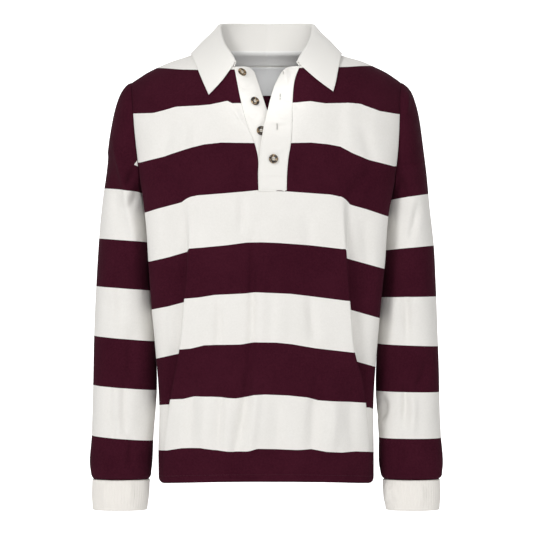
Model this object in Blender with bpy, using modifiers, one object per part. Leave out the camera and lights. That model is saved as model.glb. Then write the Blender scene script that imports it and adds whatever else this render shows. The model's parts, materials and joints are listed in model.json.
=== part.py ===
"""Long-sleeved striped polo shirt, rugby cut, hollow and filled out as when worn.

The wearer faces -Y with arms down, so the wearer's left is +X.  The origin is the middle of
the neck opening, at the height where the shoulder seams start, because the shoulders carry
the shirt.  Lengths in this script are millimetres, and add_solid turns them into metres.

Each cut piece is a loft: a sheet of points on its outer face, read from the body's sections,
with a wall grown inwards.  Sheets that are sewn together share their points along the seam,
stand a little apart there and have one common slant, so that the walls don't cross.
"""

import math

import bpy
import numpy as np
from mathutils import Vector

MM = 0.001
CLOTH = 2.0  # wall of the jersey
LABEL_WALL = 1.0
SEAM_GAP = 0.32
LABEL_GAP = 1.6  # the label and tape hang a little off the back's inner face
LABEL_TILT = 1.2
SQUARENESS = 2.3  # superellipse exponent of the body's sections
DOME = 2.2  # superellipse exponent of the slope from chest or back up to the shoulder

ARM_HOLLOW_AT = 98.0  # degrees from the front centre where the arm presses the side in
ARM_HOLLOW_SPAN = 30.0
JUST_FRONT = 89.999
JUST_BACK = 90.001

HEM_Z = -660.0
HEM_FRONT_RISE = 8.0
UNDERARM_Z = -205.0
CHEST_DIP = 24.0
NOTCH_Z = -212.0  # lower end of the placket
SHOULDER_POINT_X = 208.5
HIGH_POINT_X = 82.0  # inner end of the shoulder seam, at the neck
NECK_END_RIGHT_X = 49.0
NECK_END_LEFT_X = 50.0

ARMHOLE_CELLS = 11
SIDE_CELLS = 15
ROWS_CROWD_UP = 1.3  # rows lie closer where the body turns over the shoulder
ROUND_CUFF = 110  # points round a cuff, two to a rib
CUFF_WALL = 2.2
RIB_RISE = 0.7
CUFF_ROWS = (-655, -678, -701.5)
TAPE_HALF = 60.0
TAPE_WIDTH = 17.0
LABEL_X = (-37.0, 35.6)
LABEL_Z = (-10.5, -55.0)


def table(columns, *rows):
    """Named columns of numbers, sorted by the first column."""
    return dict(zip(columns.split(), np.array(sorted(rows), float).T))


def read(rows, column, at):
    """The smooth curve through a column, at values of the table's first column."""
    x = next(iter(rows.values()))
    y = rows[column]
    slope = np.gradient(y, x)
    at = np.clip(np.asarray(at, float), x[0], x[-1])
    i = np.clip(np.searchsorted(x, at, side="right") - 1, 0, len(x) - 2)
    h = x[i + 1] - x[i]
    s = (at - x[i]) / h
    near = (1 + 2 * s) * (1 - s) ** 2 * y[i] + s * (1 - s) ** 2 * h * slope[i]
    far = s**2 * (3 - 2 * s) * y[i + 1] + s**2 * (s - 1) * h * slope[i + 1]
    return near + far


def ease(x):
    x = np.clip(x, 0.0, 1.0)
    return x * x * (3 - 2 * x)


def unit(v):
    return v / np.maximum(np.linalg.norm(v, axis=-1, keepdims=True), 1e-12)


# ---------------------------------------------------------------------------
# The body's form: one row for each section from the hem up.  right and left are the
# half-widths on the wearer's right (-X) and left (+X), front and back the depths, and
# hollow the share that the hanging arm presses in.
SECTIONS = table(
    "z right left front back hollow",
    (-670, 166, 166, 110, 100, 0.11),
    (-612, 167, 166, 112, 101, 0.12),
    (-541, 166, 166, 115, 102, 0.13),
    (-471, 170, 169, 117, 102, 0.15),
    (-394, 177, 175, 118, 103, 0.18),
    (-321, 181, 182, 119, 106, 0.22),
    (-243, 187, 188, 119, 110, 0.24),
    (-205, 192, 195, 118, 112, 0.20),
    (-172, 199, 201, 117, 112, 0.13),
    (-130, 211, 213, 116, 110, 0.06),
    (-90, 222, 223, 115, 107, 0.02),
    (-42, 230, 230, 114, 104, 0.0),
    (30, 230, 230, 112, 100, 0.0),
)

# The shoulder line from the neck's middle out, and how far below it the slopes to the
# chest and to the back begin.
SHOULDER = table(
    "x z front_rise back_rise y",
    (0, 24, 135, 112, -6),
    (82, 10, 132, 110, -5),
    (116, 0, 128, 106, -4),
    (143, -8.5, 124, 104, -3),
    (168, -19, 119, 100, -2),
    (186, -28, 114, 97, -1),
    (SHOULDER_POINT_X, -42, 110, 94, 0),
    (235, -62, 106, 92, 0),
)

# The armhole seam, seen from the front: its half-width at each height.
ARMHOLE = table(
    "z right left back",
    (-205, 190.5, 193, 176),
    (-187, 194, 197, 179),
    (-172, 196.5, 199.5, 183.5),
    (-150, 199, 201.5, 189),
    (-121, 202, 203, 195),
    (-90, 204.5, 204, 200),
    (-60, 207, 205.5, 205),
    (-42, SHOULDER_POINT_X, SHOULDER_POINT_X, SHOULDER_POINT_X),
)

# The neckline's height where the collar is sewn on.
NECKLINE = table(
    "x front back",
    (0, -60, 8),
    (20, -45, 7.8),
    (49, -24, 7.5),
    (56, -16, 7.5),
    (63, -8.5, 7.7),
    (70, -0.5, 8.2),
    (76, 5.5, 8.9),
    (82, 10, 10),
)

# The front panel's edges beside the placket.
PLACKET_SEAMS = table(
    "z right left",
    (NOTCH_Z, -12.2, 30.5),
    (-190, -12.8, 31),
    (-165, -12.6, 33),
    (-140, -18.5, 37),
    (-119, -27, 38.5),
    (-78, -38.5, 39.3),
    (-40, -46, 44),
    (-24, -49, 50),
)

# The long fold down each side of the front, whose middle hangs proud of its sides.
SIDE_FOLD = table(
    "z right left right_depth left_depth",
    (-670, 158, 157, 4, 5),
    (-600, 155, 156, 7, 8),
    (-545, 148, 151, 13, 14),
    (-504, 141, 145, 16, 18),
    (-460, 132, 133, 16, 20),
    (-381, 123, 125, 14, 18),
    (-302, 116, 118, 10, 14),
    (-235, 114, 113, 4, 7),
    (-200, 112, 110, 0, 0),
    (0, 112, 110, 0, 0),
)

# Where the columns of the front's sheet lie, from the side (0) to the placket (1).
FOLD_FOOT = 0.50
FOLD_LIP = 0.58
HIGH_POINT = 0.54
FRONT_COLUMNS = (0, 0.1, 0.2, 0.3, 0.4, FOLD_FOOT, HIGH_POINT, FOLD_LIP, 0.68, 0.78, 0.89, 1)
HIGH_POINT_BACK = 0.47  # the same point, counted from the back's middle (0) to its side (1)
BACK_NECK_COLUMNS = (0.36, 0.24, 0.12, 0)


def reach(t, hollow):
    """A section's half-width at an angle, as a share, before it is scaled to its size."""
    pressed = hollow * np.exp(-(((np.abs(t) - ARM_HOLLOW_AT) / ARM_HOLLOW_SPAN) ** 2))
    return np.abs(np.sin(np.radians(t))) ** (2 / SQUARENESS) * (1 - pressed)


def widest(hollow):
    angles = np.arange(54.0, 98.0, 2.0)
    return np.max([reach(a, hollow) for a in angles], axis=0)


def section_x(t, z):
    hollow = read(SECTIONS, "hollow", z)
    half = np.where(t > 0, read(SECTIONS, "left", z), read(SECTIONS, "right", z))
    return np.sign(t) * half * reach(t, hollow) / widest(hollow)


def slope_foot(x, forward):
    """Height where the slope up to the shoulder begins, and how far it then rises."""
    x = np.abs(x)
    rise = np.where(forward, read(SHOULDER, "front_rise", x), read(SHOULDER, "back_rise", x))
    return read(SHOULDER, "z", x) - rise, rise


def body(t, z):
    """Outer face of the unfolded body cloth, t degrees round from the front centre, left +."""
    t, z = np.broadcast_arrays(np.asarray(t, float), np.asarray(z, float))
    x = section_x(t, z)
    forward = np.abs(t) < 90
    depth = np.where(forward, -read(SECTIONS, "front", z), read(SECTIONS, "back", z))
    y = depth * np.abs(np.cos(np.radians(t))) ** (2 / SQUARENESS)
    foot, rise = slope_foot(x, forward)
    ridge = read(SHOULDER, "y", np.abs(x))
    k = np.clip((z - foot) / rise, 0, 1)
    y = ridge * k**2 + (y - ridge * k**2) * (1 - k**DOME) ** (1 / DOME)
    return np.stack([x, y, z], -1)


def climb_to_z(t, climb):
    """Height on the body for a climb: 0 at the slope's foot and pi/2 on the shoulder line."""
    t, climb = np.broadcast_arrays(np.asarray(t, float), np.asarray(climb, float))
    share = np.where(climb > 0, np.sin(np.clip(climb, 0, math.pi / 2)) ** (2 / DOME), climb)
    z = np.full(t.shape, -100.0)
    for _ in range(14):
        foot, rise = slope_foot(section_x(t, z), np.abs(t) < 90)
        z = foot + rise * share
    return z


def climb_of(t, z):
    foot, rise = slope_foot(section_x(t, z), np.abs(t) < 90)
    k = np.clip((z - foot) / rise, -9, 1)
    return np.where(k > 0, np.arcsin(np.clip(k, 0, 1) ** (DOME / 2)), k)


def place(x, z, forward):
    """(t, climb) of the point of the front or back that has this x and height."""
    x, z = np.broadcast_arrays(np.asarray(x, float), np.asarray(z, float))
    hollow = read(SECTIONS, "hollow", z)
    half = np.where(x > 0, read(SECTIONS, "left", z), read(SECTIONS, "right", z))
    t = np.full(x.shape, 60.0 if forward else 120.0)
    for _ in range(14):
        pressed = hollow * np.exp(-(((t - ARM_HOLLOW_AT) / ARM_HOLLOW_SPAN) ** 2))
        share = np.abs(x) * widest(hollow) / (half * (1 - pressed))
        angle = np.degrees(np.arcsin(np.clip(share, 0, 1) ** (SQUARENESS / 2)))
        t = angle if forward else 180 - angle
    t = np.minimum(t, JUST_FRONT) if forward else np.maximum(t, JUST_BACK)
    t = np.where(x < 0, -t, t)
    return np.stack([t, climb_of(t, z)], -1)


def folded(t, z):
    """Body cloth with the long side folds: pushed in from the fold's lip out to the side."""
    p = body(t, z)
    step = 0.4
    du = body(np.asarray(t) + step, z) - body(np.asarray(t) - step, z)
    dz = body(t, np.asarray(z) + 1) - body(t, np.asarray(z) - 1)
    n = unit(np.cross(du, dz))
    left = p[..., 0] > 0
    lip = np.where(left, read(SIDE_FOLD, "left", z), read(SIDE_FOLD, "right", z))
    deep = np.where(left, read(SIDE_FOLD, "left_depth", z), read(SIDE_FOLD, "right_depth", z))
    half = np.where(left, read(SECTIONS, "left", z), read(SECTIONS, "right", z))
    past = np.abs(p[..., 0]) - lip
    inside = deep * ease(past / 9.0) * (1 - ease((past - 6.0) / (half - lip)))
    proud = 0.16 * deep * np.exp(-((past / 22.0) ** 2))
    push = np.where(np.abs(t) < 84, proud - inside, 0) * ease((84 - np.abs(t)) / 16)
    return p + n * push[..., None]


# ---------------------------------------------------------------------------
# Seams, each a curve in (t, climb)


def armhole(side, forward, w):
    """From the underarm (w = 0) to the shoulder point (w = 1)."""
    name = ("right" if side < 0 else "left") if forward else "back"
    w = np.asarray(w, float)
    z = UNDERARM_Z + (ARMHOLE["z"][-1] - UNDERARM_Z) * (0.35 * w + 0.65 * w**1.6)
    x = read(ARMHOLE, name, z)
    seam = place(side * x, z, forward)
    # the seam turns under the arm to meet the side seam
    turn = np.where(w < 0.34, np.sqrt(np.clip(1 - (w / 0.34 - 1) ** 2, 0, 1)), 1)
    t = 90 + (np.abs(seam[..., 0]) - 90) * turn
    t = side * (np.minimum(t, JUST_FRONT) if forward else np.maximum(t, JUST_BACK))
    return np.stack([t, climb_of(t, z)], -1)


def shoulder_and_neck(side, forward, u, high_point):
    """From the shoulder point (u = 0) to the neck and along the neckline (u = 1)."""
    u = np.asarray(u, float)
    end = (NECK_END_RIGHT_X if side < 0 else NECK_END_LEFT_X) if forward else 0.0
    on_seam = np.clip(u / high_point, 0, 1)
    on_neck = np.clip((u - high_point) / (1 - high_point), 0, 1)
    x = np.where(
        u <= high_point,
        SHOULDER_POINT_X + (HIGH_POINT_X - SHOULDER_POINT_X) * on_seam,
        HIGH_POINT_X + (end - HIGH_POINT_X) * (on_neck ** (1.0 if forward else 1.7)),
    )
    z = np.where(
        u <= high_point,
        read(SHOULDER, "z", x),
        read(NECKLINE, "front" if forward else "back", x),
    )
    seam = place(side * x, z, forward)
    seam[..., 1] = np.where(u <= high_point, math.pi / 2, seam[..., 1])
    return seam


def chest_row(side, u, z):
    """Angles across the front at a height, with columns along both lines of the fold."""
    name = "right" if side < 0 else "left"
    lip = np.abs(place(side * read(SIDE_FOLD, name, z), z, True)[..., 0])
    foot = np.abs(place(side * (read(SIDE_FOLD, name, z) + 9.0), z, True)[..., 0])
    foot = np.minimum(foot, lip + 0.35 * (90 - lip))
    inner = side * place(side * np.abs(read(PLACKET_SEAMS, name, z)), z, True)[..., 0]
    u = np.asarray(u, float)
    a = JUST_FRONT + (foot - JUST_FRONT) * u / FOLD_FOOT
    b = foot + (lip - foot) * (u - FOLD_FOOT) / (FOLD_LIP - FOLD_FOOT)
    c = lip + (inner - lip) * (u - FOLD_LIP) / (1 - FOLD_LIP)
    return side * np.where(u < FOLD_FOOT, a, np.where(u < FOLD_LIP, b, c))


def chest_z(t):
    """The row that starts at the underarm dips beside it, clear of the armhole's curve."""
    rise = (CHEST_DIP + NOTCH_Z - UNDERARM_Z) * np.clip(np.cos(np.radians(t)), 0, 1) ** 4
    return UNDERARM_Z - CHEST_DIP * ease(np.abs(90 - np.abs(t)) / 26) + rise


def coons(u, v, bottom, top, start, end):
    """Transfinite patch in (t, climb) between four curves that share their corners."""
    u = u[None, :, None]
    v = v[:, None, None]
    edges = (1 - v) * bottom[None] + v * top[None] + (1 - u) * start[:, None] + u * end[:, None]
    corners = (1 - u) * (1 - v) * bottom[0] + u * (1 - v) * bottom[-1]
    return edges - corners - (1 - u) * v * top[0] - u * v * top[-1]


def rows_up(z_low, cells):
    return np.linspace(z_low, UNDERARM_Z, cells + 1)


def hem_z(t):
    return HEM_Z + HEM_FRONT_RISE * np.clip(np.cos(np.radians(t)), 0, 1) ** 2


def front_half_top(side, u, v):
    z = chest_z(chest_row(side, u, UNDERARM_Z))
    z = chest_z(chest_row(side, u, z))
    t = chest_row(side, u, z)
    low = np.stack([t, climb_of(t, z)], -1)
    low[0] = armhole(side, True, 0.0)
    top = shoulder_and_neck(side, True, u, HIGH_POINT)
    z = NOTCH_Z + (body(top[-1, 0], climb_to_z(top[-1, 0], top[-1, 1]))[2] - NOTCH_Z) * v
    name = "right" if side < 0 else "left"
    inner = place(read(PLACKET_SEAMS, name, z), z, True)
    low[-1], inner[-1] = inner[0], top[-1]
    tc = coons(u, v, low, top, armhole(side, True, v), inner)
    return folded(tc[..., 0], climb_to_z(tc[..., 0], tc[..., 1]))


def back_top(u, v):
    """The upper back from armhole to armhole, u from -1 to 1."""
    t = np.where(u < 0, -1, 1) * np.maximum(180 - 90 * np.abs(u), JUST_BACK)
    low = np.stack([t, climb_of(t, chest_z(t))], -1)
    across = [shoulder_and_neck(s, False, 1 - np.abs(u), 1 - HIGH_POINT_BACK) for s in (-1, 1)]
    top = np.where((u < 0)[:, None], across[0], across[1])
    starts = armhole(-1, False, v)
    ends = armhole(1, False, v)
    for row in (low, top, starts, ends):  # angles go on past 180 so that the patch is whole
        row[..., 0] = np.where(row[..., 0] < 0, 360 + row[..., 0], row[..., 0])
    low[np.abs(u) < 1e-9, 0] = top[np.abs(u) < 1e-9, 0] = 180
    low[0], low[-1] = starts[0], ends[0]
    tc = coons((u + 1) / 2, v, low, top, starts, ends)
    t = np.where(tc[..., 0] > 180, tc[..., 0] - 360, tc[..., 0])
    return body(t, climb_to_z(t, tc[..., 1]))


# ---------------------------------------------------------------------------
# Sleeves.  The armhole loop runs from the underarm up the front, over the shoulder point
# and down the back.  Below it, one row for each level section down to the cuff: distances
# from the middle plane to the outer and inner edge, and from the side seam's plane.
SLEEVE_RIGHT = table(
    "z outer inner front back",
    (-655, 267.0, 182.0, -45, 17),
    (-651, 270.0, 179.0, -48, 20),
    (-642, 272.0, 177.5, -50, 24),
    (-587, 270.5, 174.5, -48, 32),
    (-509, 269.0, 170.0, -44, 44),
    (-426, 266.6, 173.0, -44, 55),
    (-357, 264.4, 176.0, -46, 62),
    (-300, 261.4, 179.0, -47, 65),
    (-262, 258.5, 181.0, -48, 66),
)
SLEEVE_LEFT = table(
    "z outer inner front back",
    (-655, 266.0, 181.5, -45, 17),
    (-651, 269.5, 178.0, -48, 20),
    (-642, 271.2, 175.5, -50, 24),
    (-587, 269.7, 172.5, -48, 32),
    (-509, 267.6, 169.0, -44, 44),
    (-426, 265.5, 173.5, -44, 55),
    (-357, 262.8, 177.5, -46, 62),
    (-300, 260.2, 181.0, -47, 65),
    (-262, 256.8, 183.0, -48, 66),
)
CUFF_RIGHT = table(
    "z outer inner front back",
    (-701.5, 266.0, 186.0, -51, 9),
    (-678, 267.5, 183.0, -49, 13),
    (-655, 267.0, 182.0, -45, 17),
)
CUFF_LEFT = table(
    "z outer inner front back",
    (-701.5, 264.6, 186.0, -51, 9),
    (-678, 266.5, 182.5, -49, 13),
    (-655, 266.0, 181.5, -45, 17),
)
SLEEVE_ROWS = (-262, -290, -320, -350, -380, -410, -440, -470, -500, -530, -560, -590, -620)
SLEEVE_END_ROWS = (-642, -651, -655)
HEAD_STEPS = 7
# How the sleeve head leaves the armhole and arrives at the first level section, for the
# inner side, the front or back and the outer side: out, forward or back, down, and up.
SLEEVE_HEAD = table(
    "way leave_out leave_fore leave_down arrive_in arrive_up",
    (0, 2, 0, 14, 2, 20),
    (90, 16, 5, 14, 2, 68),
    (180, 31, 0, 7, 14, 128),
)


def tube_ring(rows, side, way, z):
    """A level section: way is 0 on the body's side, 90 in front and 180 outside."""
    outer, inner = read(rows, "outer", z), read(rows, "inner", z)
    front, back = read(rows, "front", z), read(rows, "back", z)
    a = np.radians(way)
    across, along = -np.cos(a), np.sin(a)
    across = np.sign(across) * np.abs(across) ** 0.94
    x = (outer + inner) / 2 + (outer - inner) / 2 * across
    y = (front + back) / 2 - (back - front) / 2 * np.sign(along) * np.abs(along) ** 0.94
    return np.stack([side * x, y, np.broadcast_to(z, x.shape)], -1)


def armhole_loop(side, w):
    """Points of the armhole seam, w from 0 at the underarm to 1 on top and on to 2."""
    front = armhole(side, True, np.clip(w, 0, 1))
    back = armhole(side, False, np.clip(2 - w, 0, 1))
    tc = np.where((w <= 1)[:, None], front, back)
    return body(tc[:, 0], climb_to_z(tc[:, 0], tc[:, 1]))


def sleeve_grid(side, w, head_steps, rows):
    """Rows of the sleeve from the armhole to the cuff; w runs round it from 0 to 2."""
    levels = SLEEVE_RIGHT if side < 0 else SLEEVE_LEFT
    way = 180 * w
    fold = 180 - np.abs(180 - way)
    a = armhole_loop(side, w)
    e = tube_ring(levels, side, way, np.full(w.shape, float(rows[0])))
    get = {name: read(SLEEVE_HEAD, name, fold) for name in SLEEVE_HEAD if name != "way"}
    fore = -np.sin(np.radians(way)) * get["leave_fore"]
    b = a + np.stack([side * get["leave_out"], fore, -get["leave_down"]], -1)
    c = e + np.stack([-side * get["arrive_in"], 0 * fore, get["arrive_up"]], -1)
    grid = []
    for s in np.linspace(0, 1, head_steps + 1)[:-1]:
        s = s**1.15
        grid.append(
            (1 - s) ** 3 * a + 3 * s * (1 - s) ** 2 * b + 3 * s**2 * (1 - s) * c + s**3 * e
        )
    grid += [tube_ring(levels, side, way, np.full(w.shape, float(z))) for z in rows]
    return np.array(grid)


# ---------------------------------------------------------------------------
# Collar: a stand up from the neckline, a soft fold, and a leaf that falls outside.  along
# runs from the front end (0) past the shoulder seam (0.47) to the middle of the back (1).
# The fold's columns give its visible top; the edge's give where the leaf lies on the body.
COLLAR = table(
    "along fold_x fold_y fold_z edge_x edge_z left_edge_x left_edge_z",
    (0, 47.5, -85, -15, 86.8, -68.5, 100.5, -63.3),
    (0.113, 54, -72, -3, 94.2, -52.2, 104.7, -48.3),
    (0.226, 62.5, -53, 11, 101.3, -35.4, 107.7, -32.9),
    (0.327, 68, -33, 23, 107.5, -20.5, 110.6, -19.0),
    (0.43, 71.5, -10, 35.5, 113.8, -5.5, 114.2, -5.2),
    (0.47, 72.5, 0, 39.5, 116, 0, 116, 0),
    (0.594, 73, 24, 51, 110, -3, 110, -3),
    (0.729, 62, 48, 54.8, 92, -10, 92, -10),
    (0.865, 38, 66, 56.6, 52, -13, 52, -13),
    (1, 0, 73, 56.3, 0, -13, 0, -13),
)
COLLAR_AT_SHOULDER = 0.47
COLLAR_WALL = 2.0
FOLD_RADIUS = 2.4
LEAF_LIFT = 1.6  # the least that the leaf's hidden face keeps off the body
LEAF_BOW = 1.5
END_BOW = 4.0  # the front edge of the leaf bows down, towards the middle
END_BOW_REACH = 0.1
STAND_STEPS = 3
LEAF_STEPS = 5


def above_body(p):
    """Rough distance of points near the shoulders from the body's outer face."""

    def level(q):
        x, y, z = q[..., 0], q[..., 1], q[..., 2]
        forward = y < read(SHOULDER, "y", np.abs(x))
        foot, rise = slope_foot(x, forward)
        half = np.where(x > 0, read(SECTIONS, "left", z), read(SECTIONS, "right", z))
        side = (1 - np.clip(np.abs(x) / half, 0, 0.999) ** SQUARENESS) ** (1 / SQUARENESS)
        depth = np.where(forward, -read(SECTIONS, "front", z), read(SECTIONS, "back", z))
        k = np.clip((z - foot) / rise, 0, 2)
        ridge = read(SHOULDER, "y", np.abs(x)) * k**2
        return np.clip((y - ridge) / (depth * side - ridge), 0, None) ** DOME + k**DOME - 1

    value = level(p)
    slope = [
        (level(p + step) - level(p - step)) / 0.8 for step in 0.4 * np.eye(3)
    ]
    slope = np.stack(slope, -1)
    size = np.linalg.norm(slope, axis=-1)
    return value / size, slope / size[..., None]


def kept_off(p, least):
    """Points moved out until they are the least distance off the body."""
    for _ in range(4):
        gap, way = above_body(p)
        p = p + way * np.clip(least - gap, 0, None)[..., None]
    return p


def collar_line(side, along, seam):
    """A line across the collar's hidden face: seam, stand, fold and leaf."""
    up = np.array([0, 0, 1.0])
    name = "left_edge_" if side > 0 else "edge_"
    fold = [side * read(COLLAR, "fold_x", along)]
    fold = np.array(fold + [read(COLLAR, "fold_y", along), read(COLLAR, "fold_z", along)])
    x, z = side * read(COLLAR, name + "x", along), read(COLLAR, name + "z", along)
    tc = place(x, z, bool(along < COLLAR_AT_SHOULDER))
    edge = kept_off(body(tc[0], climb_to_z(tc[0], tc[1])), LEAF_LIFT)
    out = unit((edge - fold) * (1, 1, 0))
    centre = fold - up * (COLLAR_WALL + FOLD_RADIUS)
    turn = []
    for a in np.radians((0, 60, 120, 180)):
        turn.append(centre + FOLD_RADIUS * (-math.cos(a) * out + math.sin(a) * up))
    stand = [seam + (turn[0] - seam) * s for s in np.linspace(0, 1, STAND_STEPS + 1)[:-1]]
    near_end = math.exp(-((along / END_BOW_REACH) ** 2))
    bow = LEAF_BOW * (1 - near_end) * (out + 0.5 * up)
    bow = bow + END_BOW * near_end * np.array([-0.77 * side, 0, -0.64])
    leaf = []
    for s in np.linspace(0, 1, LEAF_STEPS + 1)[1:]:
        p = turn[-1] + (edge - turn[-1]) * s + bow * math.sin(math.pi * s)
        leaf.append(kept_off(p, LEAF_LIFT))
    return np.array(stand + turn + leaf)


# ---------------------------------------------------------------------------
# Placket strips: each runs down beside its edge of the front.  The free edges meet low
# down, where the buttonhole strip laps over the button strip, and fall open above.
# free is a free edge's x, and off how far it stands proud of the body, or behind it.
PLACKET = table(
    "z over_free over_off under_free under_off",
    (-212, -12.0, 2.9, 28.3, -2.9),
    (-165, -11.0, 2.9, 28.3, -2.9),
    (-150, -9.5, 3.6, 25.8, -3.0),
    (-135, -7.2, 6.4, 21.0, -3.2),
    (-119, -4.5, 7.6, 13.5, -4.2),
    (-91, 1.5, 1.0, 1.5, -12),
    (-70, 6.5, -9, -5.3, -20),
    (-52, 12.2, -18, -11, -26),
    (-22, 27.5, -29, -21.4, -32),
)
PLACKET_CELLS = 4
TOP_SET_BACK = 1.4  # keeps the strips' upper ends clear of the collar's ends


def placket_point(side, x, z):
    """A point of a strip's outer face: side 1 is the buttonhole strip, -1 the button strip."""
    x, z = np.broadcast_arrays(np.asarray(x, float), np.asarray(z, float))
    kind = "over" if side > 0 else "under"
    seam = read(PLACKET_SEAMS, "left" if side > 0 else "right", z)
    free, off = read(PLACKET, kind + "_free", z), read(PLACKET, kind + "_off", z)
    share = (x - seam) / (free - seam)
    tc = place(x, z, True)
    base = body(tc[..., 0], climb_to_z(tc[..., 0], tc[..., 1]))
    share = np.clip(share, 0, 1)
    bend = np.where(np.abs(off) > 7, share**1.6, share)
    base[..., 1] -= off * bend
    return base


# ---------------------------------------------------------------------------
# Sheets and their seams


class Sheet:
    """Points of a piece's outer face, its four-sided faces, and the slant of its wall."""

    def __init__(self, name, wall):
        self.name = name
        self.wall = wall
        self.points = np.zeros((0, 3))
        self.faces = np.zeros((0, 4), int)

    def add_points(self, grid):
        ids = np.arange(grid[..., 0].size).reshape(grid.shape[:-1]) + len(self.points)
        self.points = np.vstack([self.points, grid.reshape(-1, 3)])
        return ids

    def add_faces(self, ids, flip=False, closed=False):
        if closed:
            ids = np.hstack([ids, ids[:, :1]])
        a, b, c, d = ids[:-1, :-1], ids[:-1, 1:], ids[1:, 1:], ids[1:, :-1]
        quads = np.stack([a, d, c, b] if flip else [a, b, c, d], -1).reshape(-1, 4)
        self.faces = np.vstack([self.faces, quads])

    def finish(self):
        p = self.points[self.faces]
        n = np.cross(p[:, 2] - p[:, 0], p[:, 3] - p[:, 1])
        total = np.zeros_like(self.points)
        for corner in range(4):
            np.add.at(total, self.faces[:, corner], n)
        self.slant = -unit(total)
        self.shift = np.zeros_like(self.points)
        self.pending = {}
        self.home = self.points.copy()
        self.inner = None
        return self


def sew(seams):
    """Gives the points that sheets share one place and slant, and parts the sheets there."""
    groups = {}
    for (one, a), (two, b) in seams:
        for i, j in zip(a, b):
            first, second = (one.name, int(i)), (two.name, int(j))
            merged = groups.get(first, {first: one}) | groups.get(second, {second: two})
            for member in merged:
                groups[member] = merged
    for merged in list(groups.values()):
        place_at = sum(sheet.home[key[1]] for key, sheet in merged.items()) / len(merged)
        kinds = ([], [])
        for key, sheet in merged.items():
            kinds["sleeve" in sheet.name].append(sheet.slant[key[1]])
        slant = sum(unit(sum(kind)) for kind in kinds if kind)
        if kinds[1]:  # under the arm the two cloths hang side by side from the seam
            slant = slant + np.array([0, 0, 2.5]) * ease((-185 - place_at[2]) / 20)
        slant = unit(slant)
        for key, sheet in merged.items():
            sheet.pending[key[1]] = (place_at, slant)
    sheets = {s.name: s for merged in groups.values() for s in merged.values()}
    for sheet in sheets.values():
        for i, (place_at, slant) in sheet.pending.items():
            sheet.points[i] = sheet.home[i] = place_at
            sheet.slant[i] = slant
    for (one, a), (two, b) in seams:
        along = unit(np.gradient(one.home[a], axis=0))
        across = unit(np.cross(along, one.slant[a]))
        for sheet, ids, other in ((one, a, two), (two, b, one)):
            middle = []
            for i in ids:
                near = sheet.faces[(sheet.faces == i).any(1)].ravel()
                middle.append(sheet.home[near].mean(0) - sheet.home[i])
            way = np.sign((across * np.array(middle)).sum(-1, keepdims=True))
            sheet.shift[ids] += across * way * SEAM_GAP / 2


def add_solid(sheet, collection, looks, sharp=40.0):
    """Grows the wall inwards from the sheet and closes it round its free edges."""
    outer = sheet.points + sheet.shift
    inner = outer + sheet.slant * sheet.wall
    if sheet.inner is not None:  # a cuff's ribs are raised on its outer face alone
        inner = sheet.inner + sheet.shift
    count = len(outer)
    edges = {}
    for face in sheet.faces:
        for a, b in zip(face, np.roll(face, -1)):
            edges[(int(a), int(b))] = True
    rim = [(b, a, a + count, b + count) for a, b in edges if (b, a) not in edges]
    faces = [tuple(map(int, f)) for f in sheet.faces]
    faces += [tuple(int(i) + count for i in f[::-1]) for f in sheet.faces] + rim
    mesh = bpy.data.meshes.new(sheet.name)
    mesh.from_pydata([tuple(p) for p in np.vstack([outer, inner]) * MM], [], faces)
    mesh.validate()
    mesh.materials.append(material(sheet.name, *looks))
    mesh.shade_smooth()
    mesh.set_sharp_from_angle(angle=math.radians(sharp))
    piece = bpy.data.objects.new(sheet.name, mesh)
    collection.objects.link(piece)
    return piece


def material(name, colour, roughness):
    made = bpy.data.materials.new(name + "_cloth")
    made.use_nodes = True
    surface = made.node_tree.nodes["Principled BSDF"]
    surface.inputs["Base Color"].default_value = (*colour, 1.0)
    surface.inputs["Roughness"].default_value = roughness
    surface.inputs["Metallic"].default_value = 0.0
    return made


BURGUNDY = ((0.052, 0.010, 0.018), 0.85)
CREAM = ((0.87, 0.85, 0.80), 0.85)
RIB_CREAM = ((0.83, 0.78, 0.71), 0.9)
LABEL_GREY = ((0.70, 0.71, 0.71), 0.6)
HORN = ((0.10, 0.055, 0.03), 0.3)

# Buttons: places seen from the front, on the button strip but for the lowest, which is
# fastened and so lies on the buttonhole strip.
BUTTONS = table(
    "number x z on_strip",
    (1, -37.5, -33.0, -1),
    (2, -18.0, -78.0, -1),
    (3, -8.0, -122.5, -1),
    (4, 10.4, -165.0, 1),
)
BUTTON_GAP = 0.4  # between a button and the highest cloth under it
BUTTON_REACH = 6.6  # how far round a button's middle the cloth is felt for
BUTTON_HOLE_RADIUS = 0.95
BUTTON_HOLE_AT = 1.9
BUTTON_HOLE_TURN = 49.0
BUTTON_PROFILE = (  # radius and height, from the rim's foot over the rim to the dished middle
    (5.9, 0.0),
    (6.8, 0.6),
    (7.0, 1.5),
    (6.5, 2.5),
    (5.5, 2.8),
    (4.4, 2.1),
)


def patch_points(sheet, ids, face):
    """Closely spaced points all over part of a sheet's outer or inner face."""
    depth = sheet.wall if face == "inner" else 0
    grid = (sheet.points + sheet.shift + sheet.slant * depth)[ids]
    s = np.linspace(0, 1, 33)
    a, b = s[:, None, None, None, None], s[None, :, None, None, None]
    fine = (1 - a) * ((1 - b) * grid[:-1, :-1] + b * grid[:-1, 1:])
    fine = fine + a * ((1 - b) * grid[1:, :-1] + b * grid[1:, 1:])
    return fine.reshape(-1, 3)


def inside_panel(sheet, ids, x, z):
    """Points against a panel's inner face at the given x and z, where a label is stitched."""
    fine = patch_points(sheet, ids, "inner")
    near = [((fine[:, ::2] - (i, k)) ** 2).sum(-1).argmin() for i, k in zip(x, z)]
    y = fine[near, 1]
    return np.stack([x, y - LABEL_GAP * LABEL_TILT, z - LABEL_GAP * 0.5], -1)


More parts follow.
